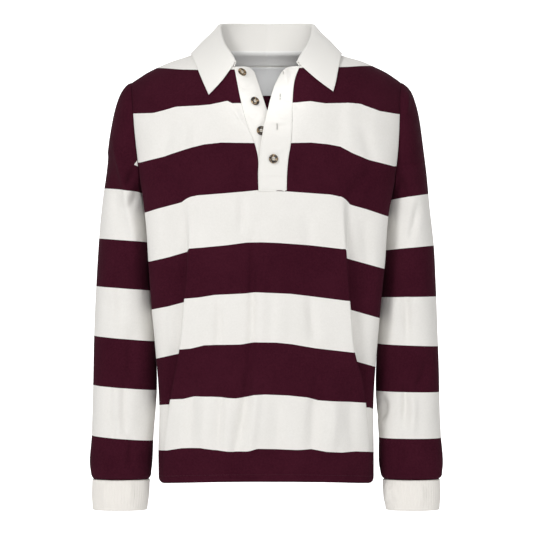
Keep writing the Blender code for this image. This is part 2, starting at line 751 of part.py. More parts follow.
def add_buttons(collection, strips):
    for k in range(len(BUTTONS["number"])):
        side = int(BUTTONS["on_strip"][k])
        x, z = BUTTONS["x"][k], BUTTONS["z"][k]
        name = "button_%d" % BUTTONS["number"][k]
        p = placket_point(side, x, z)
        across = placket_point(side, x + 4, z) - placket_point(side, x - 4, z)
        up = placket_point(side, x, z + 4) - placket_point(side, x, z - 4)
        n = unit(np.cross(across, up))
        cloth = strips[side][0]
        under = patch_points(cloth, strips[side][1], "outer")
        under = under[np.linalg.norm(under - p, axis=1) < BUTTON_REACH]
        p = p + n * (((under - p) @ n).max() + BUTTON_GAP)
        mesh = bpy.data.meshes.new(name)
        height = [0.0] + [h for r, h in BUTTON_PROFILE] + [1.9]
        radius = [0.0] + [r for r, h in BUTTON_PROFILE] + [0.0]
        points = [(r * MM, 0.0, h * MM) for r, h in zip(radius, height)][::-1]
        mesh.from_pydata(points, [(i, i + 1) for i in range(len(points) - 1)], [])
        mesh.materials.append(material(name, *HORN))
        button = bpy.data.objects.new(name, mesh)
        turned = button.modifiers.new("turned", "SCREW")
        turned.steps = 24
        turned.render_steps = 24
        turned.use_merge_vertices = True
        turned.merge_threshold = 0.00001
        closed = button.modifiers.new("closed", "WELD")
        closed.merge_threshold = 0.00001
        collection.objects.link(button)
        turn = Vector((0, 0, 1)).rotation_difference(Vector(n))
        button.rotation_euler = turn.to_euler()
        button.location = Vector(p * MM)
        for i in range(4):
            angle = math.radians(BUTTON_HOLE_TURN + 90 * i)
            bpy.ops.mesh.primitive_cylinder_add(
                vertices=8, radius=BUTTON_HOLE_RADIUS * MM, depth=12 * MM
            )
            cutter = bpy.context.object
            cutter.name = "%s_hole_%d" % (name, i + 1)
            cutter.parent = button
            cutter.location = (
                BUTTON_HOLE_AT * math.cos(angle) * MM,
                BUTTON_HOLE_AT * math.sin(angle) * MM,
                0.0,
            )
            cutter.rotation_euler = (0.0, 0.0, 0.3)
            cutter.hide_render = True
            cutter.display_type = "WIRE"
            hole = button.modifiers.new("hole", "BOOLEAN")
            hole.operation = "DIFFERENCE"
            hole.object = cutter


def main():
    for old in list(bpy.data.objects):
        bpy.data.objects.remove(old, do_unlink=True)
    shirt = bpy.data.collections.new("striped_polo_shirt")
    bpy.context.scene.collection.children.link(shirt)

    v = 1 - np.linspace(1, 0, ARMHOLE_CELLS + 1) ** ROWS_CROWD_UP
    rows = rows_up(HEM_Z, SIDE_CELLS)
    cols = np.array(FRONT_COLUMNS)
    n = len(cols)

    # front
    front = Sheet("front", CLOTH)
    grid = []
    for z0 in rows:
        share = (z0 - HEM_Z) / (UNDERARM_Z - HEM_Z)
        halves = []
        for side in (-1, 1):
            t = chest_row(side, cols, np.full(cols.shape, z0))
            for _ in range(3):
                z = hem_z(t) * (1 - share) + chest_z(t) * share
                t = chest_row(side, cols, z)
            halves.append(np.stack([t, z], -1))
        a, b = halves[0][-1], halves[1][-1]
        middle = [a + (b - a) * s for s in (1 / 3, 2 / 3)]
        row = np.vstack([halves[0], middle, halves[1][::-1]])
        grid.append(folded(row[:, 0], row[:, 1]))
    low = front.add_points(np.array(grid))
    front.add_faces(low)
    tops = {}
    for side in (-1, 1):
        grid = front_half_top(side, cols, v)
        first = low[-1, :n] if side < 0 else low[-1, ::-1][:n]
        front.points[first] = grid[0]
        ids = np.vstack([first[None], front.add_points(grid[1:])])
        front.add_faces(ids, flip=side > 0)
        tops[side] = ids
    front.finish()

    # back
    back = Sheet("back", CLOTH)
    out = [1 - c * (1 - HIGH_POINT_BACK) / HIGH_POINT for c in FRONT_COLUMNS if c <= HIGH_POINT]
    out += list(BACK_NECK_COLUMNS)
    u = np.array([-c for c in out] + out[-2::-1])
    t = np.where(u < 0, -1, 1) * np.maximum(180 - 90 * np.abs(u), JUST_BACK)
    share = ((rows[:-1] - HEM_Z) / (UNDERARM_Z - HEM_Z))[:, None]
    grid = body(t[None], HEM_Z * (1 - share) + chest_z(t)[None] * share)
    grid = np.vstack([grid, back_top(u, v)])
    back_ids = back.add_points(grid)
    back.add_faces(back_ids, flip=True)
    back.finish()
    chest = len(rows) - 1

    # sleeves and cuffs
    w = np.concatenate([v, 2 - v[-2:0:-1]])
    levels = SLEEVE_ROWS + SLEEVE_END_ROWS
    tubes = {}
    for side, name in ((-1, "right"), (1, "left")):
        sleeve = Sheet("sleeve_" + name, CLOTH)
        ids = sleeve.add_points(sleeve_grid(side, w, HEAD_STEPS, levels))
        sleeve.add_faces(ids, flip=side > 0, closed=True)
        sleeve.finish()
        for i in ids[-1]:  # level at the cuff, so that the two rims face each other
            sleeve.slant[i] = unit(sleeve.slant[i] * np.array([1, 1, 0]))
        sleeve.shift[ids[-1], 2] += SEAM_GAP / 2
        cuff = Sheet("cuff_" + name, CUFF_WALL)
        way = np.arange(ROUND_CUFF) * 360.0 / ROUND_CUFF
        sizes = CUFF_RIGHT if side < 0 else CUFF_LEFT
        rings = [tube_ring(sizes, side, way, np.full(way.shape, z)) for z in CUFF_ROWS]
        cuff_ids = cuff.add_points(np.array(rings))
        cuff.add_faces(cuff_ids, flip=side > 0, closed=True)
        cuff.finish()
        cuff.slant = unit(cuff.slant * np.array([1, 1, 0]))
        cuff.inner = cuff.points + cuff.slant * CUFF_WALL
        ribs = np.where(np.arange(ROUND_CUFF) % 2 == 0, RIB_RISE, 0.0)
        cuff.points = cuff.points - cuff.slant * np.tile(ribs, len(rings))[:, None]
        cuff.shift[cuff_ids[0], 2] -= SEAM_GAP / 2
        tubes[side] = (sleeve, ids, cuff)

    # collar
    collar = Sheet("collar", COLLAR_WALL)
    on_neck = (cols[cols > HIGH_POINT] - HIGH_POINT) / (1 - HIGH_POINT)
    at = [COLLAR_AT_SHOULDER * (1 - s) for s in on_neck[::-1]] + [COLLAR_AT_SHOULDER]
    behind = 1 - np.array(BACK_NECK_COLUMNS) / HIGH_POINT_BACK
    at += [COLLAR_AT_SHOULDER + (1 - COLLAR_AT_SHOULDER) * s for s in behind]
    neck = {}
    for side in (-1, 1):
        front_part = front.home[tops[side][-1, cols >= HIGH_POINT][::-1]]
        half = back_ids[-1, u <= 0] if side < 0 else back_ids[-1, u >= 0][::-1]
        back_part = back.home[half[np.array(out)[: len(half)] < HIGH_POINT_BACK - 1e-9]]
        neck[side] = np.vstack([front_part, back_part])
    lines = [collar_line(-1, a, p) for a, p in zip(at, neck[-1])]
    lines += [collar_line(1, a, p) for a, p in zip(at, neck[1])][-2::-1]
    collar_ids = collar.add_points(np.array(lines).transpose(1, 0, 2))
    collar.add_faces(collar_ids, flip=True)
    collar.finish()

    # placket strips
    strips = {}
    for side, name in ((1, "placket_over"), (-1, "placket_under")):
        strip = Sheet(name, CLOTH)
        seam = front.home[tops[side][:, -1]]
        kind = "over" if side > 0 else "under"
        grid = [seam]
        for s in np.linspace(0, 1, PLACKET_CELLS + 1)[1:]:
            z = seam[:, 2] + 2.4 * s * v**3
            x = seam[:, 0] + (read(PLACKET, kind + "_free", z) - seam[:, 0]) * s
            grid.append(placket_point(side, x, z))
        ids = strip.add_points(np.array(grid).transpose(1, 0, 2))
        strip.add_faces(ids, flip=side > 0)
        strip.finish()
        strips[side] = (strip, ids)

    seams = []
    for side in (-1, 1):
        edge = low[:, 0] if side < 0 else low[:, -1]
        side_back = back_ids[: chest + 1, 0] if side < 0 else back_ids[: chest + 1, -1]
        seams.append(((front, edge), (back, side_back)))
        hole = tops[side][:, 0]
        hole_back = back_ids[chest:, 0] if side < 0 else back_ids[chest:, -1]
        sleeve, ids, cuff = tubes[side]
        seams.append(((front, hole), (sleeve, ids[0, : len(v)])))
        round_back = np.concatenate([ids[0, :1], ids[0, len(v) - 1 :][::-1]])
        seams.append(((back, hole_back), (sleeve, round_back)))
        ridge = tops[side][-1, cols <= HIGH_POINT]
        count = len(ridge)
        ridge_back = back_ids[-1, :count] if side < 0 else back_ids[-1, ::-1][:count]
        seams.append(((front, ridge), (back, ridge_back)))
        neck_front = tops[side][-1, cols >= HIGH_POINT][::-1]
        line = collar_ids[0] if side < 0 else collar_ids[0, ::-1]
        seams.append(((front, neck_front), (collar, line[: len(neck_front)])))
        strip, ids = strips[side]
        seams.append(((front, tops[side][:, -1]), (strip, ids[:, 0])))
    reach_back = len(on_neck)
    neck_back = back_ids[-1, np.abs(u) <= HIGH_POINT_BACK + 1e-9]
    seams.append(((back, neck_back), (collar, collar_ids[0, reach_back:-reach_back])))
    sew(seams)
    for side in (-1, 1):
        strip, ids = strips[side]
        strip.shift[ids[-1], 2] -= TOP_SET_BACK
        strip.shift[ids[0], 2] += SEAM_GAP * 2

    # inside the neck: a tape over the collar's seam and a blank label below it
    tape = Sheet("neck_tape", LABEL_WALL)
    upper = back_ids[-6:]
    x = np.linspace(-TAPE_HALF, TAPE_HALF, 13)
    grid = []
    for s in (0, 0.5, 1):
        z = read(NECKLINE, "back", np.abs(x)) - 2.0 - s * (TAPE_WIDTH - 2.0)
        grid.append(inside_panel(back, upper, x, z))
    tape.add_faces(tape.add_points(np.array(grid)))
    tape.finish()
    label = Sheet("neck_label", LABEL_WALL)
    x = np.linspace(LABEL_X[0], LABEL_X[1], 7)
    heights = np.linspace(LABEL_Z[0], LABEL_Z[1], 6)
    grid = [inside_panel(back, upper, x, np.full(x.shape, z)) for z in heights]
    label.add_faces(label.add_points(np.array(grid)))
    label.finish()

    add_solid(front, shirt, BURGUNDY)
    add_solid(back, shirt, BURGUNDY)
    for side in (-1, 1):
        add_solid(tubes[side][0], shirt, BURGUNDY)
        add_solid(tubes[side][2], shirt, RIB_CREAM)
    add_solid(collar, shirt, CREAM)
    for side in (1, -1):
        add_solid(strips[side][0], shirt, CREAM)
    add_solid(tape, shirt, CREAM)
    add_solid(label, shirt, LABEL_GREY)
    add_buttons(shirt, strips)


if __name__ == "__main__":
    main()
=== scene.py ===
"""Looks of the striped, long-sleeved polo shirt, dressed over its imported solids.

The surfaces are read from the same sections as the solids, more finely, with the smaller
creases, seams and stitches added.  Lengths here are millimetres until make_mesh.  Seen from
the front, x and z below mean the place where the camera sees a point in the middle plane.
"""

import json
import math

import bpy
import numpy as np
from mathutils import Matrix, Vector
from mathutils.kdtree import KDTree

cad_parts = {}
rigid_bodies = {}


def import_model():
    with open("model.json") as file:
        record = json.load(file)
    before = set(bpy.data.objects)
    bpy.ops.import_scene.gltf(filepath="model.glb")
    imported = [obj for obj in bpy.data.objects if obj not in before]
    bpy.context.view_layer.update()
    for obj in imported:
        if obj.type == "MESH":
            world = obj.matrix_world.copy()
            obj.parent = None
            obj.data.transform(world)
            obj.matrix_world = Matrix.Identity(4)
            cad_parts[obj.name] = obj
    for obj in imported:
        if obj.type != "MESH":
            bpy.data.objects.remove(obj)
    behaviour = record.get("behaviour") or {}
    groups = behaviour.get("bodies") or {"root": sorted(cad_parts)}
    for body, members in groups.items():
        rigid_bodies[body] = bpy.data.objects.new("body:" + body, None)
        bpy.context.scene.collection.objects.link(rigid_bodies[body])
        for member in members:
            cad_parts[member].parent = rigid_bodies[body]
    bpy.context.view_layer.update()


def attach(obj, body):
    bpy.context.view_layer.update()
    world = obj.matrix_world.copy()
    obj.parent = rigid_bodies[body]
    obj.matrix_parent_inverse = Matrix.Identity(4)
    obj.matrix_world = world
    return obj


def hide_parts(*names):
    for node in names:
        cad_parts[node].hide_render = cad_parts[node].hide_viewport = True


MM = 0.001
CAMERA_FAR = 4000.0
CAMERA_Z = -327.0
ROUNDS = 14  # of the searches for a place, each of which closes in on it
SQUARENESS = 2.3  # superellipse exponent of the body's sections
DOME = 2.2  # superellipse exponent of the slope from chest or back up to the shoulder
ARM_HOLLOW_AT = 98.0  # degrees from the front centre where the arm presses the side in
ARM_HOLLOW_SPAN = 30.0
JUST_FRONT = 89.999
JUST_BACK = 90.001
HEM_Z = -660.0
HEM_FRONT_RISE = 8.0
HEM_TURN = 9.0
HEM_DRAWN = 6.0
HEM_HALF = 166.0
UNDERARM_Z = -205.0
CHEST_DIP = 24.0
CHEST_DIP_SPAN = 26.0  # degrees round from the side seam over which it comes in
NOTCH_Z = -212.0  # lower end of the placket
SHOULDER_POINT_X = 208.5
HIGH_POINT_X = 82.0  # inner end of the shoulder seam, at the neck
NECK_END_RIGHT_X = 49.0
NECK_END_LEFT_X = 50.0


def table(columns, *rows):
    """Named columns of numbers, sorted by the first column."""
    return dict(zip(columns.split(), np.array(sorted(rows), float).T))


def read(rows, column, at):
    """The smooth curve through a column, at values of the table's first column."""
    x = next(iter(rows.values()))
    y = rows[column]
    slope = np.gradient(y, x)
    at = np.clip(np.asarray(at, float), x[0], x[-1])
    i = np.clip(np.searchsorted(x, at, side="right") - 1, 0, len(x) - 2)
    h = x[i + 1] - x[i]
    s = (at - x[i]) / h
    near = (1 + 2 * s) * (1 - s) ** 2 * y[i] + s * (1 - s) ** 2 * h * slope[i]
    far = s**2 * (3 - 2 * s) * y[i + 1] + s**2 * (s - 1) * h * slope[i + 1]
    return near + far


def ease(x):
    x = np.clip(x, 0.0, 1.0)
    return x * x * (3 - 2 * x)


def unit(v):
    return v / np.maximum(np.linalg.norm(v, axis=-1, keepdims=True), 1e-12)


# ---------------------------------------------------------------------------
# The body's form: one row for each section from the hem up.  right and left are the
# half-widths on the wearer's right (-X) and left (+X), front and back the depths, and
# hollow the share that the hanging arm presses in.
SECTIONS = table(
    "z right left front back hollow",
    (-670, 166, 166, 110, 100, 0.11),
    (-612, 167, 166, 112, 101, 0.12),
    (-541, 166, 166, 115, 102, 0.13),
    (-471, 170, 169, 117, 102, 0.15),
    (-394, 177, 175, 118, 103, 0.18),
    (-321, 181, 182, 119, 106, 0.22),
    (-243, 187, 188, 119, 110, 0.24),
    (-205, 192, 195, 118, 112, 0.20),
    (-172, 199, 201, 117, 112, 0.13),
    (-130, 211, 213, 116, 110, 0.06),
    (-90, 222, 223, 115, 107, 0.02),
    (-42, 230, 230, 114, 104, 0.0),
    (30, 230, 230, 112, 100, 0.0),
)

# The shoulder line from the neck's middle out, and how far below it the slopes to the
# chest and to the back begin.
SHOULDER = table(
    "x z front_rise back_rise y",
    (0, 24, 135, 112, -6),
    (82, 10, 132, 110, -5),
    (116, 0, 128, 106, -4),
    (143, -8.5, 124, 104, -3),
    (168, -19, 119, 100, -2),
    (186, -28, 114, 97, -1),
    (SHOULDER_POINT_X, -42, 110, 94, 0),
    (235, -62, 106, 92, 0),
)

# The armhole seam, seen from the front: its half-width at each height.
ARMHOLE = table(
    "z right left back",
    (-205, 190.5, 193, 176),
    (-187, 194, 197, 179),
    (-172, 196.5, 199.5, 183.5),
    (-150, 199, 201.5, 189),
    (-121, 202, 203, 195),
    (-90, 204.5, 204, 200),
    (-60, 207, 205.5, 205),
    (-42, SHOULDER_POINT_X, SHOULDER_POINT_X, SHOULDER_POINT_X),
)

# The neckline's height where the collar is sewn on.
NECKLINE = table(
    "x front back",
    (0, -60, 8),
    (20, -45, 7.8),
    (49, -24, 7.5),
    (56, -16, 7.5),
    (63, -8.5, 7.7),
    (70, -0.5, 8.2),
    (76, 5.5, 8.9),
    (82, 10, 10),
)

# The front panel's edges beside the placket.
PLACKET_SEAMS = table(
    "z right left",
    (NOTCH_Z, -12.2, 30.5),
    (-190, -12.8, 31),
    (-165, -12.6, 33),
    (-140, -18.5, 37),
    (-119, -27, 38.5),
    (-78, -38.5, 39.3),
    (-40, -46, 44),
    (-24, -49, 50),
)

# The long fold down each side of the front, whose middle hangs proud of its sides.
FOLD_FOOT = 0.50
FOLD_LIP = 0.58
HIGH_POINT = 0.54
HIGH_POINT_BACK = 0.47
SIDE_FOLD = table(
    "z right left right_depth left_depth",
    (-670, 158, 157, 4, 5),
    (-600, 155, 156, 7, 8),
    (-545, 148, 151, 13, 14),
    (-504, 141, 145, 16, 18),
    (-460, 132, 133, 16, 20),
    (-381, 123, 125, 14, 18),
    (-302, 116, 118, 10, 14),
    (-235, 114, 113, 4, 7),
    (-200, 112, 110, 0, 0),
    (0, 112, 110, 0, 0),
)
# How wide the step at the fold's lip is: soft where the fold begins, sharper further down.
LIP_WIDTHS = table(
    "z width",
    (-670, 4.5), (-350, 4.5), (-300, 7), (-262, 11), (-225, 16), (0, 16),
)
FOLD_RETURN = 6.0  # how far past the lip the pushed-in cloth begins to come out again
FOLD_PROUD = 0.16  # how far the cloth beside the lip stands proud, as a share of the fold's depth
FOLD_PROUD_WIDTH = 22.0
FOLD_ENDS_T = 84.0  # degrees round from the front centre where the fold has gone
FOLD_FADE_T = 16.0


def reach(t, hollow):
    """A section's half-width at an angle, as a share, before it is scaled to its size."""
    pressed = hollow * np.exp(-(((np.abs(t) - ARM_HOLLOW_AT) / ARM_HOLLOW_SPAN) ** 2))
    return np.abs(np.sin(np.radians(t))) ** (2 / SQUARENESS) * (1 - pressed)


def widest(hollow):
    angles = np.arange(54.0, 98.0, 2.0)
    return np.max([reach(a, hollow) for a in angles], axis=0)


def section_x(t, z):
    hollow = read(SECTIONS, "hollow", z)
    half = np.where(t > 0, read(SECTIONS, "left", z), read(SECTIONS, "right", z))
    return np.sign(t) * half * reach(t, hollow) / widest(hollow)


def slope_foot(x, forward):
    """Height where the slope up to the shoulder begins, and how far it then rises."""
    x = np.abs(x)
    rise = np.where(forward, read(SHOULDER, "front_rise", x), read(SHOULDER, "back_rise", x))
    return read(SHOULDER, "z", x) - rise, rise


def body(t, z):
    """Outer face of the unfolded body cloth, t degrees round from the front centre, left +."""
    t, z = np.broadcast_arrays(np.asarray(t, float), np.asarray(z, float))
    x = section_x(t, z)
    forward = np.abs(t) < 90
    depth = np.where(forward, -read(SECTIONS, "front", z), read(SECTIONS, "back", z))
    y = depth * np.abs(np.cos(np.radians(t))) ** (2 / SQUARENESS)
    foot, rise = slope_foot(x, forward)
    ridge = read(SHOULDER, "y", np.abs(x))
    k = np.clip((z - foot) / rise, 0, 1)
    y = ridge * k**2 + (y - ridge * k**2) * (1 - k**DOME) ** (1 / DOME)
    return np.stack([x, y, z], -1)


def climb_to_z(t, climb):
    """Height on the body for a climb: 0 at the slope's foot and pi/2 on the shoulder line."""
    t, climb = np.broadcast_arrays(np.asarray(t, float), np.asarray(climb, float))
    share = np.where(climb > 0, np.sin(np.clip(climb, 0, math.pi / 2)) ** (2 / DOME), climb)
    z = np.full(t.shape, -100.0)
    for _ in range(ROUNDS):
        foot, rise = slope_foot(section_x(t, z), np.abs(t) < 90)
        z = foot + rise * share
    return z


def climb_of(t, z):
    foot, rise = slope_foot(section_x(t, z), np.abs(t) < 90)
    k = np.clip((z - foot) / rise, -9, 1)
    return np.where(k > 0, np.arcsin(np.clip(k, 0, 1) ** (DOME / 2)), k)


def place(x, z, forward):
    """(t, climb) of the point of the front or back that has this x and height."""
    x, z = np.broadcast_arrays(np.asarray(x, float), np.asarray(z, float))
    hollow = read(SECTIONS, "hollow", z)
    half = np.where(x > 0, read(SECTIONS, "left", z), read(SECTIONS, "right", z))
    t = np.full(x.shape, 60.0 if forward else 120.0)
    whole = np.abs(x) * widest(hollow) / half
    for _ in range(ROUNDS):
        pressed = hollow * np.exp(-(((t - ARM_HOLLOW_AT) / ARM_HOLLOW_SPAN) ** 2))
        share = whole / (1 - pressed)
        angle = np.degrees(np.arcsin(np.clip(share, 0, 1) ** (SQUARENESS / 2)))
        t = angle if forward else 180 - angle
    t = np.minimum(t, JUST_FRONT) if forward else np.maximum(t, JUST_BACK)
    t = np.where(x < 0, -t, t)
    return np.stack([t, climb_of(t, z)], -1)


def folded(t, z):
    """Body cloth with the long side folds: pushed in from the fold's lip out to the side."""
    p = body(t, z)
    du = body(np.asarray(t) + 0.4, z) - body(np.asarray(t) - 0.4, z)
    dz = body(t, np.asarray(z) + 1) - body(t, np.asarray(z) - 1)
    n = unit(np.cross(du, dz))
    left = p[..., 0] > 0
    lip = np.where(left, read(SIDE_FOLD, "left", z), read(SIDE_FOLD, "right", z))
    deep = np.where(left, read(SIDE_FOLD, "left_depth", z), read(SIDE_FOLD, "right_depth", z))
    half = np.where(left, read(SECTIONS, "left", z), read(SECTIONS, "right", z))
    past = np.abs(p[..., 0]) - lip
    lip_width = read(LIP_WIDTHS, "width", z)
    inside = deep * ease(past / lip_width) * (1 - ease((past - FOLD_RETURN) / (half - lip)))
    proud = FOLD_PROUD * deep * np.exp(-((past / FOLD_PROUD_WIDTH) ** 2))
    fade = ease((FOLD_ENDS_T - np.abs(t)) / FOLD_FADE_T)
    push = np.where(np.abs(t) < FOLD_ENDS_T, proud - inside, 0) * fade
    return p + n * push[..., None]


def fold_past(t, z):
    """How far points of the front lie past the side fold's lip."""
    x = body(t, z)[..., 0]
    return np.abs(x) - np.where(x > 0, read(SIDE_FOLD, "left", z), read(SIDE_FOLD, "right", z))


# ---------------------------------------------------------------------------
# Seams, each a curve in (t, climb)


UNDERARM_TURN = 0.34  # share of the seam that turns under the arm to meet the side seam
BACK_NECK_BEND = 1.7


def armhole(side, forward, w):
    """From the underarm (w = 0) to the shoulder point (w = 1)."""
    name = ("right" if side < 0 else "left") if forward else "back"
    w = np.asarray(w, float)
    z = UNDERARM_Z + (ARMHOLE["z"][-1] - UNDERARM_Z) * (0.35 * w + 0.65 * w**1.6)
    x = read(ARMHOLE, name, z)
    seam = place(side * x, z, forward)
    under = np.sqrt(np.clip(1 - (w / UNDERARM_TURN - 1) ** 2, 0, 1))
    turn = np.where(w < UNDERARM_TURN, under, 1)
    t = 90 + (np.abs(seam[..., 0]) - 90) * turn
    t = side * (np.minimum(t, JUST_FRONT) if forward else np.maximum(t, JUST_BACK))
    return np.stack([t, climb_of(t, z)], -1)


def shoulder_and_neck(side, forward, u, high_point):
    """From the shoulder point (u = 0) to the neck and along the neckline (u = 1)."""
    u = np.asarray(u, float)
    end = (NECK_END_RIGHT_X if side < 0 else NECK_END_LEFT_X) if forward else 0.0
    on_seam = np.clip(u / high_point, 0, 1)
    on_neck = np.clip((u - high_point) / (1 - high_point), 0, 1)
    x = np.where(
        u <= high_point,
        SHOULDER_POINT_X + (HIGH_POINT_X - SHOULDER_POINT_X) * on_seam,
        HIGH_POINT_X + (end - HIGH_POINT_X) * on_neck ** (1.0 if forward else BACK_NECK_BEND),
    )
    z = np.where(
        u <= high_point,
        read(SHOULDER, "z", x),
        read(NECKLINE, "front" if forward else "back", x),
    )
    seam = place(side * x, z, forward)
    seam[..., 1] = np.where(u <= high_point, math.pi / 2, seam[..., 1])
    return seam


def chest_row(side, u, z):
    """Angles across the front at a height, with columns along both lines of the fold."""
    name = "right" if side < 0 else "left"
    lip = np.abs(place(side * read(SIDE_FOLD, name, z), z, True)[..., 0])
    foot_x = read(SIDE_FOLD, name, z) + read(LIP_WIDTHS, "width", z)
    foot = np.abs(place(side * foot_x, z, True)[..., 0])
    foot = np.minimum(foot, lip + 0.35 * (90 - lip))
    inner = side * place(side * np.abs(read(PLACKET_SEAMS, name, z)), z, True)[..., 0]
    u = np.asarray(u, float)
    a = JUST_FRONT + (foot - JUST_FRONT) * u / FOLD_FOOT
    b = foot + (lip - foot) * (u - FOLD_FOOT) / (FOLD_LIP - FOLD_FOOT)
    c = lip + (inner - lip) * (u - FOLD_LIP) / (1 - FOLD_LIP)
    return side * np.where(u < FOLD_FOOT, a, np.where(u < FOLD_LIP, b, c))


def chest_z(t):
    """The row that starts at the underarm dips beside it, clear of the armhole's curve."""
    rise = (CHEST_DIP + NOTCH_Z - UNDERARM_Z) * np.clip(np.cos(np.radians(t)), 0, 1) ** 4
    return UNDERARM_Z - CHEST_DIP * ease(np.abs(90 - np.abs(t)) / CHEST_DIP_SPAN) + rise


def coons(u, v, bottom, top, start, end):
    """Patch in (t, climb) between four curves that share their corners: straight from the
    bottom to the top, with the side curves' bends fading out away from the sides."""
    u = u[None, :, None]
    v = v[:, None, None]
    straight = (1 - v) * bottom[None] + v * top[None]
    start_bend = start[:, None] - (1 - v) * bottom[0] - v * top[0]
    end_bend = end[:, None] - (1 - v) * bottom[-1] - v * top[-1]
    return straight + (1 - u) ** 3 * start_bend + u**3 * end_bend


def hem_z(t):
    return HEM_Z + HEM_FRONT_RISE * np.clip(np.cos(np.radians(t)), 0, 1) ** 2


def turned_hem(p):
    """The hem's turned-up end draws the sides in a little, so its corners look round."""
    low = np.clip((HEM_Z + HEM_TURN - p[..., 2]) / HEM_TURN, 0, 1)
    drawn = HEM_DRAWN * (1 - np.sqrt(1 - low**2)) * np.abs(p[..., 0] / HEM_HALF) ** 6
    return p - np.stack([np.sign(p[..., 0]) * drawn, 0 * drawn, 0 * drawn], -1)


def front_half_top(side, u, v):
    z = chest_z(chest_row(side, u, UNDERARM_Z))
    z = chest_z(chest_row(side, u, z))
    t = chest_row(side, u, z)
    low = np.stack([t, climb_of(t, z)], -1)
    low[0] = armhole(side, True, 0.0)
    top = shoulder_and_neck(side, True, u, HIGH_POINT)
    z = NOTCH_Z + (body(top[-1, 0], climb_to_z(top[-1, 0], top[-1, 1]))[2] - NOTCH_Z) * v
    name = "right" if side < 0 else "left"
    inner = place(read(PLACKET_SEAMS, name, z), z, True)
    low[-1], inner[-1] = inner[0], top[-1]
    tc = coons(u, v, low, top, armhole(side, True, v), inner)
    return tc[..., 0], climb_to_z(tc[..., 0], tc[..., 1])


def back_top(u, v):
    """The upper back from armhole to armhole, u from -1 to 1."""
    t = np.where(u < 0, -1, 1) * np.maximum(180 - 90 * np.abs(u), JUST_BACK)
    low = np.stack([t, climb_of(t, chest_z(t))], -1)
    across = [shoulder_and_neck(s, False, 1 - np.abs(u), 1 - HIGH_POINT_BACK) for s in (-1, 1)]
    top = np.where((u < 0)[:, None], across[0], across[1])
    starts = armhole(-1, False, v)
    ends = armhole(1, False, v)
    for row in (low, top, starts, ends):  # angles go on past 180 so that the patch is whole
        row[..., 0] = np.where(row[..., 0] < 0, 360 + row[..., 0], row[..., 0])
    low[np.abs(u) < 1e-9, 0] = top[np.abs(u) < 1e-9, 0] = 180
    low[0], low[-1] = starts[0], ends[0]
    tc = coons((u + 1) / 2, v, low, top, starts, ends)
    t = np.where(tc[..., 0] > 180, tc[..., 0] - 360, tc[..., 0])
    return body(t, climb_to_z(t, tc[..., 1]))


# ---------------------------------------------------------------------------
# Sleeves.  The armhole loop runs from the underarm up the front, over the shoulder point
# and down the back.  Below it, one row for each level section down to the cuff: distances
# from the middle plane to the outer and inner edge, and from the side seam's plane.
SLEEVE_RIGHT = table(
    "z outer inner front back",
    (-655, 267.0, 182.0, -45, 17),
    (-651, 270.0, 179.0, -48, 20),
    (-642, 272.0, 177.5, -50, 24),
    (-587, 270.5, 174.5, -48, 32),
    (-509, 269.0, 170.0, -44, 44),
    (-426, 266.6, 173.0, -44, 55),
    (-357, 264.4, 176.0, -46, 62),
    (-300, 261.4, 179.0, -47, 65),
    (-262, 258.5, 181.0, -48, 66),
)
SLEEVE_LEFT = table(
    "z outer inner front back",
    (-655, 266.0, 181.5, -45, 17),
    (-651, 269.5, 178.0, -48, 20),
    (-642, 271.2, 175.5, -50, 24),
    (-587, 269.7, 172.5, -48, 32),
    (-509, 267.6, 169.0, -44, 44),
    (-426, 265.5, 173.5, -44, 55),
    (-357, 262.8, 177.5, -46, 62),
    (-300, 260.2, 181.0, -47, 65),
    (-262, 256.8, 183.0, -48, 66),
)
CUFF_RIGHT = table(
    "z outer inner front back",
    (-701.5, 266.0, 186.0, -51, 9),
    (-678, 267.5, 183.0, -49, 13),
    (-655, 267.0, 182.0, -45, 17),
)
CUFF_LEFT = table(
    "z outer inner front back",
    (-701.5, 264.6, 186.0, -51, 9),
    (-678, 266.5, 182.5, -49, 13),
    (-655, 266.0, 181.5, -45, 17),
)
SLEEVE_TOP_Z = -262.0  # the first level section
CUFF_TOP_Z = -655.0
CUFF_END_Z = -701.5
RING_SHAPE = 0.94  # fullness of the sleeve's sections: 1 is an ellipse
# How the sleeve head leaves the armhole and arrives at the first level section, for the
# inner side, the front or back and the outer side: out, forward or back, down, and up.
SLEEVE_HEAD = table(
    "way leave_out leave_fore leave_down arrive_in arrive_up",
    (0, 2, 0, 14, 2, 20),
    (90, 16, 5, 14, 2, 68),
    (180, 31, 0, 7, 14, 128),
)


def tube_ring(rows, side, way, z):
    """A level section: way is 0 on the body's side, 90 in front and 180 outside."""
    outer, inner = read(rows, "outer", z), read(rows, "inner", z)
    front, back = read(rows, "front", z), read(rows, "back", z)
    a = np.radians(way)
    across, along = -np.cos(a), np.sin(a)
    across = np.sign(across) * np.abs(across) ** RING_SHAPE
    x = (outer + inner) / 2 + (outer - inner) / 2 * across
    along = np.sign(along) * np.abs(along) ** RING_SHAPE
    y = (front + back) / 2 - (back - front) / 2 * along
    return np.stack([side * x, y, np.broadcast_to(z, x.shape)], -1)


def armhole_loop(side, w):
    """Points of the armhole seam, w from 0 at the underarm to 1 on top and on to 2."""
    front = armhole(side, True, np.clip(w, 0, 1))
    back = armhole(side, False, np.clip(2 - w, 0, 1))
    tc = np.where((w <= 1)[:, None], front, back)
    return body(tc[:, 0], climb_to_z(tc[:, 0], tc[:, 1]))


